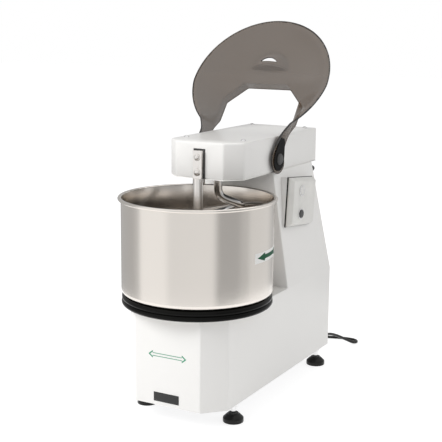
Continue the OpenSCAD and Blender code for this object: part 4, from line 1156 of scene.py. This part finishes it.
@dataclass
class Bowl(SubAssembly):
    """The turning bowl, the ring around its foot and its sticker."""

    rounded: Rounded = (("bowl_disc", BOWL_STEEL, 0.5),)
    kept: Kept = ((BOWL_STEEL, ("ring_plate",)),)
    wall: float = 2.0 * MM
    corner: float = 14 * MM
    bead: float = 8.5 * MM
    step: float = 0.5 * MM
    lip: float = 3.0 * MM
    lip_rise: float = 1.1 * MM
    lip_flat: float = 2.6 / 3
    sides: int = 256
    ring_depth: float = 20 * MM
    ring_bead: float = 7.2 * MM
    ring_draw: float = 8.2 * MM
    ring_bow: float = 78.0
    ring_back: float = 0.94
    sticker_height: float = 436 * MM
    sticker: Curve = ((-14, 13), (34, 13))
    arrow: Curve = ((-11, 0.3), (-1.6, 10.6), (-1.2, 5.2), (16, 5.2), (20, 8.4), (21, 8.4))

    def build(self, layout: Layout) -> None:
        """Makes the bowl's pieces.

        Args:
            layout: The shared places.
        """
        low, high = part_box("bowl")
        reach = (high.x - low.x) / 2 - self.bead + self.step
        dressed(self._bowl(layout, low, high), "bowl", BOWL_STEEL, ["bowl"])
        dressed(self._ring(layout), "base", RING_RUBBER, ["bowl_ring"])
        self.finish_nodes()
        for name, shape, proud, finish in (
            ("bowl_sticker", self.sticker, 0.18 * MM, LABEL_WHITE),
            ("bowl_arrow", self.arrow, 0.36 * MM, DARK_GREEN_INK),
        ):
            dressed(self._label(name, layout, reach, shape, proud), "bowl", finish)

    def _label(
        self, name: str, layout: Layout, reach: float, stations: Curve, proud: float
    ) -> bpy.types.Object:
        """A thin patch that follows the bowl's wall.

        Args:
            name: The piece's name.
            layout: The shared places.
            reach: The wall's outer radius.
            stations: Angle in degrees and half height in millimetres, from end to end.
            proud: How far it stands off the wall.

        Returns:
            The patch.
        """
        bm = bmesh.new()
        columns = []
        for (a0, h0), (a1, h1) in zip(stations, stations[1:]):
            parts = max(1, round((a1 - a0) / 1.5))
            columns += [(a0 + (a1 - a0) * k / parts, h0 + (h1 - h0) * k / parts) for k in range(parts)]
        centre = layout.bowl + Vector((0, 0, self.sticker_height))
        rings = []
        for angle, half in [*columns, stations[-1]]:
            turn = math.radians(angle)
            way = Vector((math.cos(turn), math.sin(turn), 0.0))
            corners = ((-0.3 * MM, -half), (proud, -half), (proud, half), (-0.3 * MM, half))
            rings.append([
                bm.verts.new(centre + way * (reach + out) + Vector((0, 0, up * MM))) for out, up in corners
            ])
        for low, high in zip(rings, rings[1:]):
            for k in range(4):
                bm.faces.new([low[k], low[(k + 1) % 4], high[(k + 1) % 4], high[k]])
        bm.faces.new(rings[0])
        bm.faces.new(rings[-1])
        return from_bmesh(name, bm, 40.0)

    def _bowl(self, layout: Layout, low: Vector, high: Vector) -> bpy.types.Object:
        """The bowl: floor, round corner, wall and rolled rim.

        Args:
            layout: The shared places.
            low: Lowest corner of the bowl's CAD node.
            high: Its highest corner.

        Returns:
            The bowl.
        """
        rim = (high.x - low.x) / 2
        outer = rim - self.bead + self.step
        inner = outer - self.wall
        bead = (rim - self.bead / 2, high.z - self.bead / 2)
        foot = low.z + self.corner
        rows = [foot + (bead[1] - foot) * share for share in (0.25, 0.5, 0.75)]
        profile = [(0.0, low.z), *arc((outer - self.corner, foot), self.corner, -90, 0, 10)]
        profile += [(outer, z) for z in rows] + [(outer, bead[1] - 1.5 * MM)]
        profile += arc(bead, self.bead / 2, 200, 450, 14)
        profile += arc((inner + self.lip, bead[1] + self.lip_rise), self.lip, 90, 180, 3, self.lip_flat)
        profile += [(inner, z) for z in rows[::-1]]
        profile += arc((outer - self.corner, foot), self.corner - self.wall, 0, -90, 10)
        profile.append((0.0, low.z + self.wall))
        return from_bmesh("bowl_shape", lathe(profile, layout.bowl, self.sides, closed=False), 35.0)

    def _ring(self, layout: Layout) -> bpy.types.Object:
        """The rubber ring: a lower and an upper bead with a groove between them.

        Args:
            layout: The shared places.

        Returns:
            The ring.
        """
        low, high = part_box("bowl_ring")
        outer = (high.x - low.x) / 2
        inner = outer - self.ring_depth
        beads = (
            (outer - self.ring_bead, low.z + self.ring_bead),
            (outer - self.ring_draw, high.z - self.ring_bead - 0.2 * MM),
        )
        profile = [(inner, low.z)]
        for bead in beads:
            profile += arc(bead, self.ring_bead, -self.ring_bow, self.ring_bow, 12)
        profile.append((inner, low.z + (high.z - low.z) * self.ring_back))
        return from_bmesh("bowl_ring_shape", lathe(profile, layout.bowl, self.sides), 50.0)


# ---------------------------------------------------------------- spiral


@dataclass
class Spiral(SubAssembly):
    """The kneading spiral, drawn along the same centre line as its CAD node."""

    radius: float = 68 * MM
    rod: float = 22 * MM
    turns: float = 1.3
    start: float = 38.0
    fall: float = 20.0
    neck: float = 48 * MM
    neck_steps: int = 18
    arm_steps: int = 27
    coil_steps: int = 228
    easing: int = 72
    tip: tuple[float, ...] = (0.6, 0.84, 0.96)
    sides: int = 40

    def build(self, layout: Layout) -> None:
        """Makes the spiral.

        Args:
            layout: The shared places.
        """
        low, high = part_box("spiral")
        path = self._path(high.z, low.z + self.rod / 2, layout.spiral)
        tips = {len(path) - 1 - k: share for k, share in enumerate(self.tip)}
        tube = sweep(path, lambda index: self.rod / 2 * tips.get(index, 1.0), self.sides)
        dressed(from_bmesh("spiral_shape", tube, 70.0), "spiral", SPIRAL_CHROME, ["spiral"])

    def _path(self, top: float, low: float, axis: Vector) -> Path:
        """The centre line: neck, arm and coil, with eased corners.

        Args:
            top: Height of the neck's upper end.
            low: Height of the coil's lower end.
            axis: A point on the spiral's axis at height 0.

        Returns:
            The line's points.
        """
        shoulder = top - self.neck
        elbow = shoulder - self.radius * math.tan(math.radians(self.fall))
        places = [(0.0, 0.0, top + (shoulder - top) * k / self.neck_steps) for k in range(self.neck_steps)]
        for k in range(self.arm_steps + 1):
            share = k / self.arm_steps
            places.append((self.radius * share, self.start, shoulder + (elbow - shoulder) * share))
        for k in range(1, self.coil_steps + 1):
            share = k / self.coil_steps
            angle = self.start + 360 * self.turns * share
            places.append((self.radius, angle, elbow + (low - elbow) * share))
        line = []
        for radius, angle, height in places:
            turn = math.radians(angle)
            line.append(axis + Vector((radius * math.cos(turn), radius * math.sin(turn), height)))
        for _ in range(self.easing):
            middle = [(a + 2 * b + c) / 4 for a, b, c in zip(line, line[1:], line[2:])]
            line = [line[0], *middle, line[-1]]
        return line


# ---------------------------------------------------------------- guard lid


@dataclass
class GuardLid(SubAssembly):
    """The domed guard of smoke-grey sheet, with its folded cut-out, arms and finger recess."""

    rounded: Rounded = (("hinge_pins", DARK, 0.8), ("hinge_spacers", DARK, 0.8))
    kept: Kept = ((BRASS, ("lid_cam",)), (DARK, ("lid_switch",)))
    radius: float = 207 * MM
    flange: float = 11 * MM
    flange_loss: float = 8 * MM
    ease: float = 3.5 * MM
    rise: float = 43 * MM
    sheet: float = 3 * MM
    drop: float = 36 * MM
    neck_front: float = 23 * MM
    neck_more: float = 2 * MM
    neck_end: float = 131 * MM
    cut_half: float = 117 * MM
    cut_face: float = 66.5 * MM
    cut_front: float = 20 * MM
    cut_shoulder: float = 34 * MM
    cut_corner: float = 9 * MM
    leg_start: float = 100 * MM
    fold: float = 3.5 * MM
    fold_height: float = 42.6 * MM
    fold_tilt: float = math.radians(2)
    grip_y: float = 62 * MM
    grip_radius: float = 58.5 * MM
    grip_depth: float = 25 * MM
    grip_slope: float = math.radians(20)
    grip_soft: float = 5 * MM
    slot_half: float = 26 * MM
    slot_rear: float = 18 * MM
    slot_front: float = 32 * MM
    # width of the band along the rim that gets the near-black edge finish: painted shade
    painted_shade_rim: float = 2.6 * MM
    lobe: float = 40 * MM
    lobe_centre: float = 224 * MM
    shade_angle: float = 34.0
    strap_inside: float = 119.4 * MM
    strap_thickness: float = 2.8 * MM
    strap_ends: tuple[tuple[float, float, float], ...] = ((226.0, 36.0, 30.0), (183.0, 23.5, 17.0))
    hinge_y: float = field(init=False, default=0.0)
    ball: float = field(init=False, default=0.0)

    collar_lip: float = 1.5 * MM
    crown_soft: float = 0.06
    arm_end: float = 207 * MM
    widths_end: float = 206 * MM
    least_width: float = 4 * MM

    # shares of the flange's width at an arm's start, and where the flange has gone
    flange_rows: Curve = ((0.18, 0.55), (0.4, 0.7), (0.7, 0.85), (1.0, 1.0))

    # rows of points in the dome's mesh, in millimetres from the rim and from the cut-out's fold
    rim_insets: tuple[float, ...] = (20, 16, 14.5, 13, 11.5, 10, 8.5, 7, 3.5)
    fold_rows: tuple[float, ...] = (10, 14, 19, 25)

    # heights and half widths along the arms, each at a distance behind the bowl's axis, in millimetres
    collar_tops: Curve = (
        (-60, 72), (-20, 72), (34, 71), (80, 70), (98, 68.5), (112, 61.5), (136, 50.5), (160, 46),
        (182, 47.5), (194, 53.5), (203, 61), (212, 70), (218, 74.3), (224, 76), (230, 75.5),
    )
    lower_edges: Curve = ((120, 0), (165, 0), (175, -0.8), (190, -2.4), (204, -2.9), (224, -4), (230, -4))
    rim_widths: Curve = (
        (120, 152.4), (131, 141.3), (145, 133.8), (155, 129.4), (164, 126.4), (177, 125), (190, 124.4),
        (198, 123), (206, 120), (212, 119),
    )
    foot_widths: Curve = (
        (120, 144), (131, 136.8), (145, 130.3), (155, 125.8), (164, 122.3), (177, 118.8), (190, 117.2),
        (206, 117), (212, 117),
    )

    def build(self, layout: Layout) -> None:
        """Makes the lid and its hinge pieces.

        Args:
            layout: The shared places.
        """
        self.hinge_y = layout.hinge.y - layout.bowl.y
        dome = self.radius - self.flange
        self.ball = (dome**2 + self.rise**2) / (2 * self.rise)
        lid = self._sheet()
        lid.data.transform(self._open_place(layout))
        # material 1 is the near-black edge finish: painted shade on the sheet's edges and along its rim
        dressed(lid, "lid", [SMOKE, SMOKE_PAINTED_SHADE], ["lid"])
        for name, side in (("hinge_strap_left", -1), ("hinge_strap_right", 1)):
            strap = extruded(self._strap_line(side), Vector((side * self.strap_thickness, 0, 0)))
            soften(strap, 0.5 * MM, 2)
            thing = from_bmesh(name, strap)
            thing.data.transform(self._open_place(layout))
            dressed(thing, "lid", STRAP_BLACK)
        self.finish_nodes()

    def _strap_line(self, side: int) -> Path:
        """Outline of the black strap on an arm's outer face: wide round the pin, narrower along the arm.

        Args:
            side: -1 for the left arm, 1 for the right one.

        Returns:
            The outline's points in the closed lid's frame.
        """
        (wide_y, wide_z, wide), (narrow_y, narrow_z, narrow) = self.strap_ends
        way = Vector((narrow_y - wide_y, narrow_z - wide_z))
        heading = math.degrees(math.atan2(way.y, way.x))
        lean = math.degrees(math.acos((wide - narrow) / way.length))
        line = arc((narrow_y, narrow_z), narrow, heading - lean, heading + lean, 16)
        line += arc((wide_y, wide_z), wide, heading + lean, heading + 360 - lean, 16)
        return [Vector((side * self.strap_inside, y * MM, z * MM)) for y, z in line]

    def _open_place(self, layout: Layout) -> Matrix:
        """Where the closed lid's frame lies at rest, swung open about the hinge."""
        return (
            Matrix.Translation(layout.hinge)
            @ Matrix.Rotation(-layout.lid_travel, 4, "X")
            @ Matrix.Translation((0, -self.hinge_y, -self.drop))
        )

    def _neck(self, y: float) -> float:
        """How far the legs have drawn in behind the dome.

        Args:
            y: Place behind the bowl's axis.

        Returns:
            0 where they start and 1 where the flange has gone.
        """
        return eased((y - self.leg_start) / (self.neck_end - self.leg_start))

    def _inside_foot(self, x: float, y: float) -> tuple[float, Vector]:
        """Distance inside the dome's foot, and the way to the dome's middle.

        Args:
            x: Place across the bowl.
            y: Place behind its axis.

        Returns:
            The distance, less than 0 outside, and a unit vector.
        """
        flange = self.flange - self.flange_loss * self._neck(y)
        spot, middle = Vector((x, y)), Vector((0, -self.neck_front))
        near = self.radius - flange - spot.length
        rear = self.radius + self.neck_more - flange - (spot - middle).length
        if near < rear:
            return near, -spot.normalized()
        return rear, (middle - spot).normalized()

    def _fold_distance(self, x: float, y: float) -> float:
        """Distance from the cut-out's folded edge, seen from above.

        Args:
            x: Place across the bowl.
            y: Place behind its axis.

        Returns:
            The distance.
        """
        spot = Vector((abs(x), y, 0))
        far = 2 * self.radius
        corners = [(0, -self.cut_front), (self.cut_face, -self.cut_front)]
        corners += [(self.cut_half, self.cut_shoulder), (self.cut_half, far)]
        best = far
        for (ax, ay), (bx, by) in zip(corners, corners[1:]):
            start, along = Vector((ax, ay, 0)), Vector((bx - ax, by - ay, 0))
            share = min(max((spot - start).dot(along) / along.length_squared, 0.0), 1.0)
            best = min(best, (spot - start - along * share).length)
        return best

    def _fold_height(self, y: float) -> float:
        """Height of the folded edge above the rim plane.

        Args:
            y: Place behind the bowl's axis.

        Returns:
            The height.
        """
        plane = self.fold_height + (y + self.cut_front) * math.tan(self.fold_tilt)
        return min(plane, through(self.collar_tops, y) - self.collar_lip)

    def _crown(self, x: float, y: float) -> float:
        """Height of the dome without its eased foot: the ball, and the legs' sides where higher.

        Args:
            x: Place across the bowl.
            y: Place behind its axis.

        Returns:
            The height above the rim plane.
        """
        inside, _ = self._inside_foot(x, y)
        ball = min(math.sqrt(self.ball**2 - x * x - y * y) - self.ball + self.rise, inside / 2)
        away = self._fold_distance(x, y)
        side = self._fold_height(y) * inside / max(away + inside, 1e-6)
        blend = max(self.crown_soft * (ball + side), 1e-6)
        near = max(blend - abs(ball - side), 0.0) / blend
        return max(ball, side) + near * near * blend / 4

    def _height(self, x: float, y: float) -> float:
        """Height of the sheet's underside above the rim plane, with an eased foot.

        Args:
            x: Place across the bowl.
            y: Place behind its axis.

        Returns:
            The height.
        """
        inside, inward = self._inside_foot(x, y)
        if inside <= -self.ease:
            return 0.0
        if inside >= self.ease:
            return self._crown(x, y)
        spot = Vector((x, y)) + inward * (self.ease - inside)
        return self._crown(spot.x, spot.y) * (inside + self.ease) ** 2 / (4 * self.ease**2)

    def _grip_place(self, x: float, y: float) -> float:
        """Distance of a dome point behind the finger recess's straight edge, along the sheet.

        Args:
            x: Place across the bowl.
            y: Place behind its axis.

        Returns:
            The distance, less than 0 in front of the edge.
        """
        tilt = math.asin(self.grip_y / self.ball)
        up = math.sqrt(max(self.ball**2 - x * x - y * y, 0.0))
        return y * math.cos(tilt) + up * math.sin(tilt)

    def _grip_plan(self, x: float, back: float) -> Vector:
        """Where a point of the finger recess lies, seen from above.

        Args:
            x: Place across the bowl.
            back: Distance behind the recess's straight edge, along the sheet.

        Returns:
            The place across and behind the axis.
        """
        tilt = math.asin(self.grip_y / self.ball)
        up = math.sqrt(self.ball**2 - x * x - back * back)
        return Vector((x, back * math.cos(tilt) - up * math.sin(tilt)))

    def _grip_depth(self, x: float, back: float) -> float:
        """Depth of the finger recess: a half bowl with a sloping rear wall.

        Args:
            x: Place across the bowl.
            back: Distance behind the recess's straight edge, along the sheet.

        Returns:
            The depth, 0 outside the recess.
        """
        reach = math.hypot(x, back)
        if back >= 0 or reach >= self.grip_radius:
            return 0.0
        ball = (self.grip_radius**2 + self.grip_depth**2) / (2 * self.grip_depth)
        bowl = math.sqrt(ball**2 - reach * reach) - ball + self.grip_depth
        wall = -back / math.tan(self.grip_slope)
        blend = max(self.grip_soft - abs(bowl - wall), 0.0) / self.grip_soft
        return max(min(bowl, wall) - blend * blend * self.grip_soft / 4, 0.0)

    def _point(self, x: float, y: float) -> Vector:
        """A point of the sheet's underside, dome and finger recess alike.

        Args:
            x: Place across the bowl.
            y: Place behind its axis.

        Returns:
            The point in space.
        """
        tilt = math.asin(self.grip_y / self.ball)
        depth = self._grip_depth(x, self._grip_place(x, y)) if y < 0 else 0.0
        return Vector((x, y + depth * math.sin(tilt), self._height(x, y) - depth * math.cos(tilt)))

    def _cut_line(self) -> Path:
        """The folded edge of the cut-out, from the left leg round the front to the right leg."""
        half, face, front = self.cut_half, self.cut_face, -self.cut_front
        corners = ((face, front), (half, self.cut_shoulder), (half, self.leg_start))
        right = [Vector((*corner, 0)) for corner in corners]
        left = [Vector((-p.x, p.y, 0)) for p in right[::-1]]
        return self._resampled(fillet(left + right, self.cut_corner), 5 * MM)

    @staticmethod
    def _resampled(line: Path, step: float) -> Path:
        """Adds points where a line's stretches are longer than a step.

        Args:
            line: The line.
            step: The longest stretch.

        Returns:
            The line with its new points.
        """
        out = [line[0]]
        for a, b in zip(line, line[1:]):
            parts = max(1, math.ceil((b - a).length / step))
            out += [a + (b - a) * (k / parts) for k in range(1, parts + 1)]
        return out

    @staticmethod
    def _outward(line: Path) -> Path:
        """Unit vectors away from the cut-out, for each point of its line.

        Args:
            line: The cut-out's line.

        Returns:
            The vectors.
        """
        result = []
        for index in range(len(line)):
            along = (line[min(index + 1, len(line) - 1)] - line[max(index - 1, 0)]).normalized()
            result.append(Vector((along.y, -along.x, 0)))
        return result

    def _sheet(self) -> bpy.types.Object:
        """Dome, flange, recess, collar and arms as one sheet with a thickness."""
        bm = bmesh.new()
        line = self._cut_line()
        rows: list[list[bmesh.types.BMVert]] = [[] for _ in self._bend(1.0, 1.0)]
        for point, normal in zip(line, self._outward(line)):
            rise = through(self.collar_tops, point.y) - self._height(point.x, point.y)
            for row, (offset, lift) in zip(rows, self._bend(rise, self.fold)):
                spot = point + normal * offset
                row.append(bm.verts.new((spot.x, spot.y, self._height(spot.x, spot.y) + lift)))
        self._quads(bm, rows)
        joint = self._section(self.leg_start)[len(rows) :]
        self._dome(bm, [Vector(vert.co.xy) for vert in rows[-1]], [Vector((p.x, p.z)) for p in joint])
        for side in (-1, 1):
            places = self._stations()
            columns = [[bm.verts.new((side * p.x, p.z, p.y)) for p in self._section(y)] for y in places]
            # the last faces of each arm section, along its rim, get the near-black edge finish: painted shade
            self._quads(bm, columns, [len(columns[0]) - 2 - round(3 * self._neck(y)) for y in places])
        bmesh.ops.remove_doubles(bm, verts=bm.verts[:], dist=0.01 * MM)
        self._face_up(bm)
        thicken(bm, self.sheet)
        return from_bmesh("guard_lid", bm, self.shade_angle)

    @staticmethod
    def _quads(
        bm: bmesh.types.BMesh, rows: Sequence[Sequence[bmesh.types.BMVert]], painted_shade_from: Sequence[int] = ()
    ) -> None:
        """Joins rows of points with faces.

        Args:
            bm: The mesh.
            rows: Rows of equal length.
            painted_shade_from: For each row, the point from which on its faces get the near-black edge finish,
                painted shade along the arm's rim.
        """
        for index, (low, high) in enumerate(zip(rows, rows[1:])):
            for k in range(len(low) - 1):
                face = bm.faces.new([low[k], low[k + 1], high[k + 1], high[k]])
                face.material_index = int(bool(painted_shade_from) and k >= painted_shade_from[index])

    @staticmethod
    def _bend(rise: float, fold: float) -> list[tuple[float, float]]:
        """The way down the collar and round the fold.

        Args:
            rise: Height of the collar's top above the dome.
            fold: The fold's radius.

        Returns:
            Offset away from the cut-out and height above the dome for each point.
        """
        steps, turns = 5, 6
        wall = [(0.0, rise - (rise - fold) * k / steps) for k in range(steps)]
        angles = [math.pi / 2 * k / turns for k in range(turns + 1)]
        return wall + [(fold * (1 - math.cos(a)), fold * (1 - math.sin(a))) for a in angles]

    def _stations(self) -> list[float]:
        """Places of the arms' sections, from the dome to the end of the hinge's lobe."""
        step = 4 * MM
        count = round((self.lobe_centre - self.leg_start) / step)
        straight = [self.leg_start + step * k for k in range(count + 1)]
        round_end = [self.lobe * math.sin(math.radians(7.5 * k)) for k in range(1, 13)]
        return straight + [self.lobe_centre + past for past in round_end]

    def _section(self, y: float) -> list[Vector]:
        """One arm's section, from its upper edge to its lower one.

        Args:
            y: Place behind the bowl's axis.

        Returns:
            Points as X, height and Y.
        """
        past = max(y - self.lobe_centre, 0.0)
        half = math.sqrt(max(self.lobe**2 - past * past, 0.0))
        top = self.drop + half if past else through(self.collar_tops, y)
        base = self.drop - half if past else through(self.lower_edges, y) if y > self.neck_end else 0.0
        crest = top - min(self.collar_lip, 0.1 * (top - base)) if past else self._fold_height(y)
        if y <= self.neck_end:
            reach = self.radius + self.neck_more
            inner = reach - self.flange + self.flange_loss * self._neck(y)
            rim, foot = (math.sqrt(size**2 - (y + self.neck_front) ** 2) for size in (reach, inner))
        else:
            near = min(y, self.widths_end)
            rim, foot = (through(curve, near) for curve in (self.rim_widths, self.foot_widths))
        if y > self.arm_end:
            rim = foot = self.cut_half
        neck = self._neck(y)
        width = foot - self.cut_half
        fold = min(self.fold - 2.5 * MM * neck, 0.5 * (top - crest) if neck == 1 else self.fold)
        result = []

        def spot(share: float, lift: float) -> None:
            """Adds a point of the side, a share of the way from the upper edge to the foot."""
            x = self.cut_half + share * width
            ruled = crest + (base - crest) * share
            dome = self._height(x, y) if neck < 1 else 0.0
            result.append(Vector((x, dome + (ruled - dome) * neck + lift, y)))

        foremost = self._height(self.cut_half, y) if neck < 1 else 0.0
        start = foremost + (crest - foremost) * neck
        bend = self._bend(top - start, fold)
        for offset, lift in bend:
            spot(offset / max(width, self.least_width), lift)
        last = bend[-1][0] / max(width, self.least_width)
        rows = 9
        for k in range(1, rows + 1):
            spot(last + (1 - last) * k / rows, 0.0)
        for wide, narrow in self.flange_rows:
            x = foot + (rim - foot) * (wide + (narrow - wide) * neck)
            dome = self._height(x, y) if neck < 1 else 0.0
            result.append(Vector((x, dome + (base - dome) * neck, y)))
        return result

    def _outline(self, inset: float, turn: float) -> Vector:
        """A point of the rim's outline, drawn in by an inset.

        Args:
            inset: How far it is drawn in.
            turn: Direction from the bowl's axis.

        Returns:
            The point, seen from above.
        """
        reach = self.radius - inset
        if reach > self.radius / 2:
            wide = (reach + self.neck_more) ** 2 - (self.neck_front * math.cos(turn)) ** 2
            reach = min(reach, math.sqrt(wide) - self.neck_front * math.sin(turn))
        return Vector((reach * math.cos(turn), reach * math.sin(turn)))

    def _dome(self, bm: bmesh.types.BMesh, inner: list[Vector], joint: list[Vector]) -> None:
        """Fills the sheet between the cut-out's fold, the legs, the rim and the recess's slot.

        Args:
            bm: The mesh that gets the faces.
            inner: The fold's foot, seen from above.
            joint: Where the right leg begins, from the fold to the rim.
        """
        stop = math.atan2(joint[-1].y, joint[-1].x)
        turn = math.pi + 2 * stop
        steps = 190
        rim = [self._outline(0.0, stop - turn * k / steps) for k in range(1, steps)]
        border = inner + joint + rim + [Vector((-p.x, p.y)) for p in joint[::-1]]
        slot = self._slot_line()
        edges = [(k, (k + 1) % len(border)) for k in range(len(border))]
        edges += [(len(border) + k, len(border) + (k + 1) % len(slot)) for k in range(len(slot))]
        points = border + slot + self._filling(border, slot)
        verts, _, faces, *_ = delaunay_2d_cdt(points, edges, [], 0, 1e-6)
        made = [bm.verts.new(self._point(v.x, v.y)) for v in verts]
        for face in faces:
            centre = sum((verts[i] for i in face), Vector((0, 0))) / len(face)
            if self._inside(centre, border) and not self._inside(centre, slot):
                outer = self._outline(0.0, math.atan2(centre.y, centre.x)).length
                # faces in the band along the rim get the near-black edge finish: a painted dark line of shade
                # along the rim
                dark = centre.y < self.leg_start and outer - centre.length < self.painted_shade_rim
                bm.faces.new([made[i] for i in face]).material_index = int(dark)
        for vert in [v for v in made if not v.link_faces]:
            bm.verts.remove(vert)

    def _slot_line(self) -> list[Vector]:
        """The half-moon slot's outline, seen from above: an arc to the front and a straight rear edge."""
        height = self.slot_front - self.slot_rear
        bow = (self.slot_half**2 + height**2) / (2 * height)
        centre = self.slot_front - bow
        start = math.asin((self.slot_rear - centre) / bow) + 0.04
        steps = 22
        front = []
        for k in range(steps + 1):
            a = start + (math.pi - 2 * start) * k / steps
            front.append(Vector((bow * math.cos(a), -centre - bow * math.sin(a), 0)))
        rear = [Vector((side * (self.slot_half - 2 * MM), -self.slot_rear, 0)) for side in (-1, 1)]
        spaced = self._resampled([*front, *rear, front[0]], 3 * MM)[:-1]
        return [self._grip_plan(p.x, p.y) for p in spaced]

    def _filling(self, border: Sequence[Vector], hole: Sequence[Vector]) -> list[Vector]:
        """Points inside the sheet: rings, closer near the rim, rows beside the fold and in the recess.

        Args:
            border: The sheet's outline.
            hole: The slot's outline.

        Returns:
            The points, seen from above.
        """
        insets = [self.radius - k * 9 * MM for k in range(1, 21)]
        insets += [inset * MM for inset in self.rim_insets]
        spots = []
        for index, inset in enumerate(insets):
            count = max(8, round(2 * math.pi * (self.radius - inset) / (8 * MM)))
            shift = 0.5 * (index % 2)
            spots += [self._outline(inset, 2 * math.pi * (k + shift) / count) for k in range(count)]
        line = self._cut_line()
        for offset in self.fold_rows:
            spots += [Vector((p + n * (offset * MM)).xy) for p, n in zip(line, self._outward(line))]
        margin = 3 * MM
        near = self.grip_radius + margin
        rings = []
        for spot in spots:
            back = self._grip_place(spot.x, spot.y)
            if not (-near < back < margin and math.hypot(spot.x, back) < near):
                rings.append(spot)
        rows = [
            self._grip_plan(*spot)
            for inset in (0.0, 1.5 * MM, 3.5 * MM)
            for spot in arc((0.0, 0.0), self.grip_radius - inset, 180, 360, 60)
        ]
        back = 0.0
        reach = self.grip_radius - 5 * MM
        while back < reach:
            half = math.sqrt(reach**2 - back * back)
            count = max(2, round(2 * half / (2.5 * MM)))
            rows += [self._grip_plan(-half + 2 * half * k / count, -back) for k in range(count + 1)]
            steep = back < 13 * MM
            back += 1.3 * MM if steep else 3 * MM
        return [
            spot
            for spot in rings + rows
            if min((spot - other).length_squared for other in (*border, *hole)) > (1.4 * MM) ** 2
            and self._inside(spot, border)
            and not self._inside(spot, hole)
        ]

    @staticmethod
    def _inside(spot: Vector, loop: Sequence[Vector]) -> bool:
        """Whether a point lies inside a closed line.

        Args:
            spot: The point.
            loop: The line.

        Returns:
            True inside.
        """
        within = False
        for a, b in zip(loop, [*loop[1:], loop[0]]):
            if (a.y > spot.y) != (b.y > spot.y):
                if spot.x < a.x + (spot.y - a.y) / (b.y - a.y) * (b.x - a.x):
                    within = not within
        return within

    @staticmethod
    def _face_up(bm: bmesh.types.BMesh) -> None:
        """Turns the faces so that the dome looks up."""
        bmesh.ops.recalc_face_normals(bm, faces=bm.faces[:])
        flat = max(bm.faces, key=lambda face: abs(face.normal.z) * face.calc_area())
        if flat.normal.z < 0:
            bmesh.ops.reverse_faces(bm, faces=bm.faces[:])


# ---------------------------------------------------------------- control panel


@dataclass
class Panel(SubAssembly):
    """The control box on the column's right side, with its buttons."""

    rounded: Rounded = (
        ("panel_bracket", BRACKET_PAINT, 0.8),
        ("panel_gasket", RUBBER, 0.6),
        ("control_panel", OFF_WHITE, 1.2),
        ("button_bezels", CHROME, 0.7),
        ("start_button", OFF_WHITE, 0.8),
        ("stop_button", DARK, 0.8),
    )
    kept: Kept = ((DARK, ("contact_blocks",)), (GREY_PLASTIC, ("electric_box",)))


# ---------------------------------------------------------------- feet and drive


@dataclass
class Feet(SubAssembly):
    """Levelling feet: pads and stems."""

    rounded: Rounded = (("foot_pads", RUBBER, 1.5), ("foot_stems", CHROME, 0.6))


@dataclass
class Drive(SubAssembly):
    """What turns the bowl and the spiral, inside the base, the column and the head."""

    kept: Kept = (
        (CAST_PAINT, ("gearbox", "motor", "bowl_housing")),
        (DARK, ("motor_fan_cover", "terminal_box")),
        (RUBBER, ("bowl_seal",)),
        (TURNED, (
            "bowl_bearings", "bowl_shaft", "bowl_screws", "bowl_sprocket", "bowl_nut", "base_chain",
            "drive_shaft", "drive_sprocket_lower", "drive_sprocket_upper", "drive_bearing", "head_chain",
            "spiral_bearings", "spiral_shaft", "spiral_sprocket",
        )),
    )


# ---------------------------------------------------------------- the whole mixer


def main() -> None:
    """Builds the camera, the cord and every sub-assembly."""
    logging.basicConfig(level=logging.INFO, format="%(name)s: %(message)s")
    layout = Layout.from_frame()
    Viewpoint().build(layout)
    groups = (PowerCord, Cabinet, Head, Bowl, Spiral, GuardLid, Panel, Feet, Drive)
    for group in groups:
        group().build(layout)
    Studio().build()


if __name__ == "__main__":
    main()
